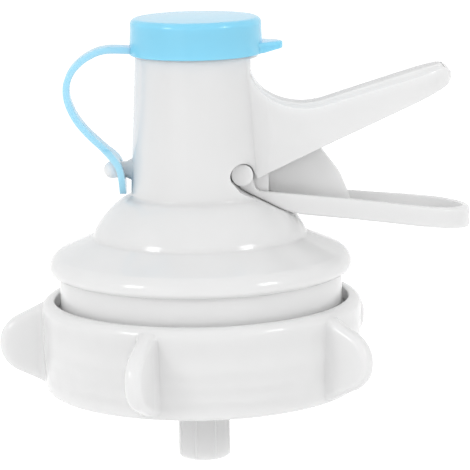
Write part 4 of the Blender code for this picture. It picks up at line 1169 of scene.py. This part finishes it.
def tab_outline():
    """Half outline of the cap's pull tab seen from above."""
    middle = TAB_REACH - TAB_TIP_RADIUS
    root = math.sqrt(CAP_BORE_RADIUS**2 - TAB_HALF_WIDTH**2)
    away = math.atan2(TAB_HALF_WIDTH, root - middle)
    reach = math.hypot(TAB_HALF_WIDTH, root - middle)
    half = arc((middle, 0.0), TAB_TIP_RADIUS, away - math.acos(TAB_TIP_RADIUS / reach), 0.0)
    return [(0.0, TAB_HALF_WIDTH), (root, TAB_HALF_WIDTH)] + half[:-1] + [(TAB_REACH, 0.0)]


def make_cap(material):
    profile = [(0.0, CAP_TOP)]
    profile += arc((CAP_TOP_RADIUS - CAP_EDGE, CAP_TOP - CAP_EDGE), CAP_EDGE, math.pi / 2, 0.0)
    profile += rounded_line(
        [(CAP_TOP_RADIUS, CAP_TOP - 2 * CAP_EDGE, 0.0), (CAP_RADIUS, TUBE_TOP, FIT), (0.0, TUBE_TOP, 0.0)]
    )
    cap = turned("cap", profile, LARGE_FACETS, closed=False)
    half = tab_outline()
    outline = half + [(x, -y) for x, y in reversed(half[:-1])]
    tab = plate("tab", outline, TAB_THICKNESS, edge=TAB_THICKNESS / 3, middle=TAB_MIDDLE)
    join(cap, tab)
    under = TAB_MIDDLE - TAB_THICKNESS / 2
    high, low = under + TAB_THICKNESS / 3, under - TAB_GUSSET_DEPTH
    side = [(CAP_BORE_RADIUS, high), (CAP_BORE_RADIUS, low), (CAP_RADIUS, low)]
    side += [(TAB_REACH, under - FIT), (TAB_REACH, high)]
    gusset = plate("gusset", side, 4 * TAB_HALF_WIDTH, facing="Y")
    inner = [(x, y * TAB_GUSSET_SHARE) for x, y in outline]
    trim(gusset, plate("gusset_plan", inner, 4 * TAB_REACH, middle=TAB_MIDDLE))
    join(cap, gusset)
    bore = rounded_line(
        [
            (0.0, CAP_TOP - CAP_TOP_WALL, 0.0),
            (CAP_BORE_RADIUS, CAP_TOP - CAP_TOP_WALL, 2 * FIT),
            (CAP_BORE_RADIUS, TUBE_TOP - OVERRUN, 0.0),
            (0.0, TUBE_TOP - OVERRUN, 0.0),
        ]
    )
    cut(cap, turned("cap_bore", bore, LARGE_FACETS, closed=False))
    settle(cap, "cap_shell", material, "cap", ["spout_cap"])


def make_strap(material):
    """Strap with its eyelet in one moulding: the eyelet sits on the peg."""
    outline = ribbon(smooth_line(STRAP_ROUTE, count=5), STRAP_THICKNESS)
    strap = plate("strap", outline, STRAP_WIDTH, edge=FIT, facing="Y")
    inset = FIT / 10
    outline = ribbon(smooth_line(EYELET_ROUTE, count=5), STRAP_THICKNESS - inset)
    eyelet = plate("eyelet", outline, 4 * EYELET_RADIUS, facing="Y")
    half = math.asin(STRAP_WIDTH / 2 / EYELET_RADIUS)
    centre = (0.0, PEG_HEIGHT)
    face = arc(centre, EYELET_RADIUS, math.pi / 2 + half, math.tau + math.pi / 2 - half, SMALL_FACETS)
    neck = STRAP_WIDTH / 2 - inset
    top = EYELET_ROUTE[0][1] + STRAP_WIDTH
    face += [(neck, top), (-neck, top)]
    trim(eyelet, plate("eyelet_face", face, 4 * PEG_END, facing="X"))
    join(strap, eyelet)
    start = Vector((-2 * PEG_END, 0.0, PEG_HEIGHT))
    end = Vector((0.0, 0.0, PEG_HEIGHT))
    cut(strap, rod("eyelet_hole", EYELET_HOLE_RADIUS, start, end, SMALL_FACETS))
    nodes = ["cap_strap", "strap_eyelet"]
    piece = settle(strap, "strap_with_eyelet", material, None, nodes)
    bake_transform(piece)


# Cup and its spring


def make_cup(material, ring):
    foot_top = CUP_BOTTOM + CUP_FOOT_ROUND
    outer = [(0.0, CUP_TOP), (CUP_BRIM_RADIUS - FIT, CUP_TOP), (CUP_BRIM_RADIUS, CUP_TOP - FIT)]
    outer += [(CUP_BRIM_RADIUS, CUP_BRIM_BOTTOM), (CUP_RADIUS, CUP_BRIM_BOTTOM)]
    outer += arc((CUP_RADIUS - CUP_FOOT_ROUND, foot_top), CUP_FOOT_ROUND, 0.0, -math.pi / 2)
    outer += [(0.0, CUP_BOTTOM)]
    cup = turned("cup", outer, MIDDLE_FACETS, closed=False)
    start = Vector((CUP_RADIUS - CUP_RIB_DEPTH / 2, 0.0, foot_top - FIT))
    end = Vector((CUP_RADIUS - CUP_RIB_DEPTH / 2, 0.0, CUP_BRIM_BOTTOM + FIT))
    rib = rod("rib", 3 * CUP_RIB_DEPTH / 2, start, end, RIB_FACETS)
    values = {"Count": CUP_RIBS, "First Angle": CUP_RIB_TURN + math.pi / CUP_RIBS, "Material": material}
    join(cup, run_tree(rib, ring, values))
    bore_radius = CUP_RADIUS - CUP_WALL
    bore = [(0.0, CUP_TOP + OVERRUN), (bore_radius, CUP_TOP + OVERRUN), (bore_radius, CUP_FLOOR)]
    bore += [(CUP_DRAIN_RADIUS, CUP_FLOOR), (CUP_DRAIN_RADIUS, CUP_BOTTOM - OVERRUN)]
    bore += [(0.0, CUP_BOTTOM - OVERRUN)]
    cut(cup, turned("cup_bore", bore, MIDDLE_FACETS, closed=False))
    settle(cup, "cup_barrel", material, "spout", ["spring_cup"])


def make_spring(material, helix):
    start = draft("coil", bpy.data.meshes.new("coil"))
    values = {
        "Turns": SPRING_CURLS,
        "Radius": SPRING_RADIUS,
        "Height": SPRING_HIGH - SPRING_LOW,
        "Low": SPRING_LOW,
        "Section Sides": WIRE_FACETS,
        "Section Radius": SPRING_WIRE / 2,
        "Steps": CURL_FACETS,
        "Material": material,
    }
    wound = run_tree(start, helix, values)
    coil = settle(wound, "return_coil", material, "spout", ["return_spring"])
    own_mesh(coil)


# Room, lamps and camera


def seen_directly(nodes, links):
    """One for rays from the camera and for those mirrored by or passing through a piece, else nought."""
    path = nodes.new("ShaderNodeLightPath")
    seen = path.outputs["Is Camera Ray"]
    for kind in ("Is Glossy Ray", "Is Transmission Ray"):
        either = nodes.new("ShaderNodeMath")
        either.operation = "MAXIMUM"
        links.new(seen, either.inputs[0])
        links.new(path.outputs[kind], either.inputs[1])
        seen = either.outputs["Value"]
    return seen


def make_room():
    """Pale floor some way under the spigot and an even, pale surround that the camera sees as white."""
    work = bmesh.new()
    bmesh.ops.create_grid(work, x_segments=8, y_segments=8, size=FLOOR_REACH)
    bmesh.ops.translate(work, vec=(0.0, 0.0, FLOOR_HEIGHT), verts=work.verts)
    floor = show("floor", mesh_from(work, "floor"))
    paper, nodes, links, shader = new_material("white_paper")
    shader.inputs["Base Color"].default_value = PAPER_COLOUR
    shader.inputs["Roughness"].default_value = 0.9
    shader.inputs["Specular IOR Level"].default_value = 0.2
    shader.inputs["Emission Color"].default_value = (1.0, 1.0, 1.0, 1.0)
    lift = nodes.new("ShaderNodeMath")
    lift.operation = "MULTIPLY"
    lift.inputs[1].default_value = PAPER_LIFT
    links.new(seen_directly(nodes, links), lift.inputs[0])
    links.new(lift.outputs["Value"], shader.inputs["Emission Strength"])
    floor.data.materials.append(paper)
    world = bpy.data.worlds.new("studio")
    bpy.context.scene.world = world
    world.use_nodes = True
    nodes, links = world.node_tree.nodes, world.node_tree.links
    surround = nodes["Background"]
    surround.inputs["Color"].default_value = (1.0, 1.0, 1.0, 1.0)
    level = spread(nodes, links, seen_directly(nodes, links), SURROUND_LEVELS)
    links.new(level, surround.inputs["Strength"])


def add_lamp(name, place, size, power):
    lamp = bpy.data.lights.new(name, "AREA")
    lamp.shape = "SQUARE"
    lamp.size = size
    lamp.energy = power
    item = show(name, lamp)
    item.location = place
    item.rotation_mode = "QUATERNION"
    item.rotation_quaternion = (Vector(LAMP_TARGET) - Vector(place)).to_track_quat("-Z", "Y")


def make_camera():
    """Camera in front, a little above, with the spout leaning a touch to the left as in the photograph."""
    back = CAMERA_DISTANCE * math.cos(CAMERA_LIFT)
    rise = CAMERA_DISTANCE * math.sin(CAMERA_LIFT)
    place = Vector((0.0, -back, CAMERA_PIVOT_HEIGHT + rise))
    lens = bpy.data.cameras.new("camera")
    lens.sensor_width = SENSOR_WIDTH
    lens.lens = CAMERA_LENS
    lens.clip_start = CAMERA_NEAR
    camera = show("camera", lens)
    camera.location = place
    facing = (Vector(CAMERA_AIM) - place).to_track_quat("-Z", "Y").to_matrix()
    roll = Matrix.Rotation(CAMERA_ROLL, 3, "Z")
    camera.rotation_mode = "QUATERNION"
    camera.rotation_quaternion = (facing @ roll).to_quaternion()
    bpy.context.scene.camera = camera
    bpy.context.scene.view_settings.view_transform = "Standard"


def dress_hidden_parts(plastic, rubber, steel):
    """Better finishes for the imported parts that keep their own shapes."""
    finishes = {
        "guide_cage": plastic,
        "push_rod": plastic,
        "valve_disc": plastic,
        "neck_gasket": rubber,
        "valve_washer": rubber,
        "washer_clip": steel,
    }
    for node, material in finishes.items():
        for slot in frame["nodes"][node].material_slots:
            slot.material = material


def make_spigot():
    white = moulded_plastic("glossy_white_plastic", (0.80, 0.80, 0.80), 0.14, glow=0.8)
    lever_white = moulded_plastic("lever_white_plastic", (0.78, 0.78, 0.78), 0.18, glow=0.8)
    nut_white = moulded_plastic("nut_white_plastic", (0.80, 0.80, 0.80), 0.14, glow=0.8)
    # The cup gets a lighter white than the spout's: painted light that lifts it out of the shade under the
    # nut.
    cup_painted_fill_white = moulded_plastic("cup_painted_fill_white_plastic", (0.88, 0.88, 0.88), 0.18, glow=0.8)
    matt_white = moulded_plastic("matt_white_plastic", (0.74, 0.74, 0.74), 0.42)
    cap_blue = moulded_plastic("cap_blue_plastic", (0.25, 0.69, 1.0), 0.13, grain=0.1, glow=0.4)
    strap_blue = moulded_plastic("strap_blue_plastic", (0.39, 0.72, 0.95), 0.2, grain=0.1, glow=0.5)
    rubber = moulded_plastic("pale_rubber", (0.60, 0.60, 0.58), 0.62, shade=0.12, grain=0.8)
    steel = drawn_steel("drawn_steel")
    ring = ring_tree()
    helix = helix_tree()
    make_spout(white)
    make_lever(lever_white)
    make_nut(nut_white, ring)
    make_thread(nut_white, helix)
    make_cap(cap_blue)
    make_strap(strap_blue)
    make_cup(cup_painted_fill_white, ring)
    make_spring(steel, helix)
    dress_hidden_parts(matt_white, rubber, steel)
    for item in list(drafts.objects):
        bpy.data.objects.remove(item, do_unlink=True)
    bpy.data.collections.remove(drafts)


make_spigot()
make_room()
for lamp in LAMPS:
    add_lamp(*lamp)
make_camera()
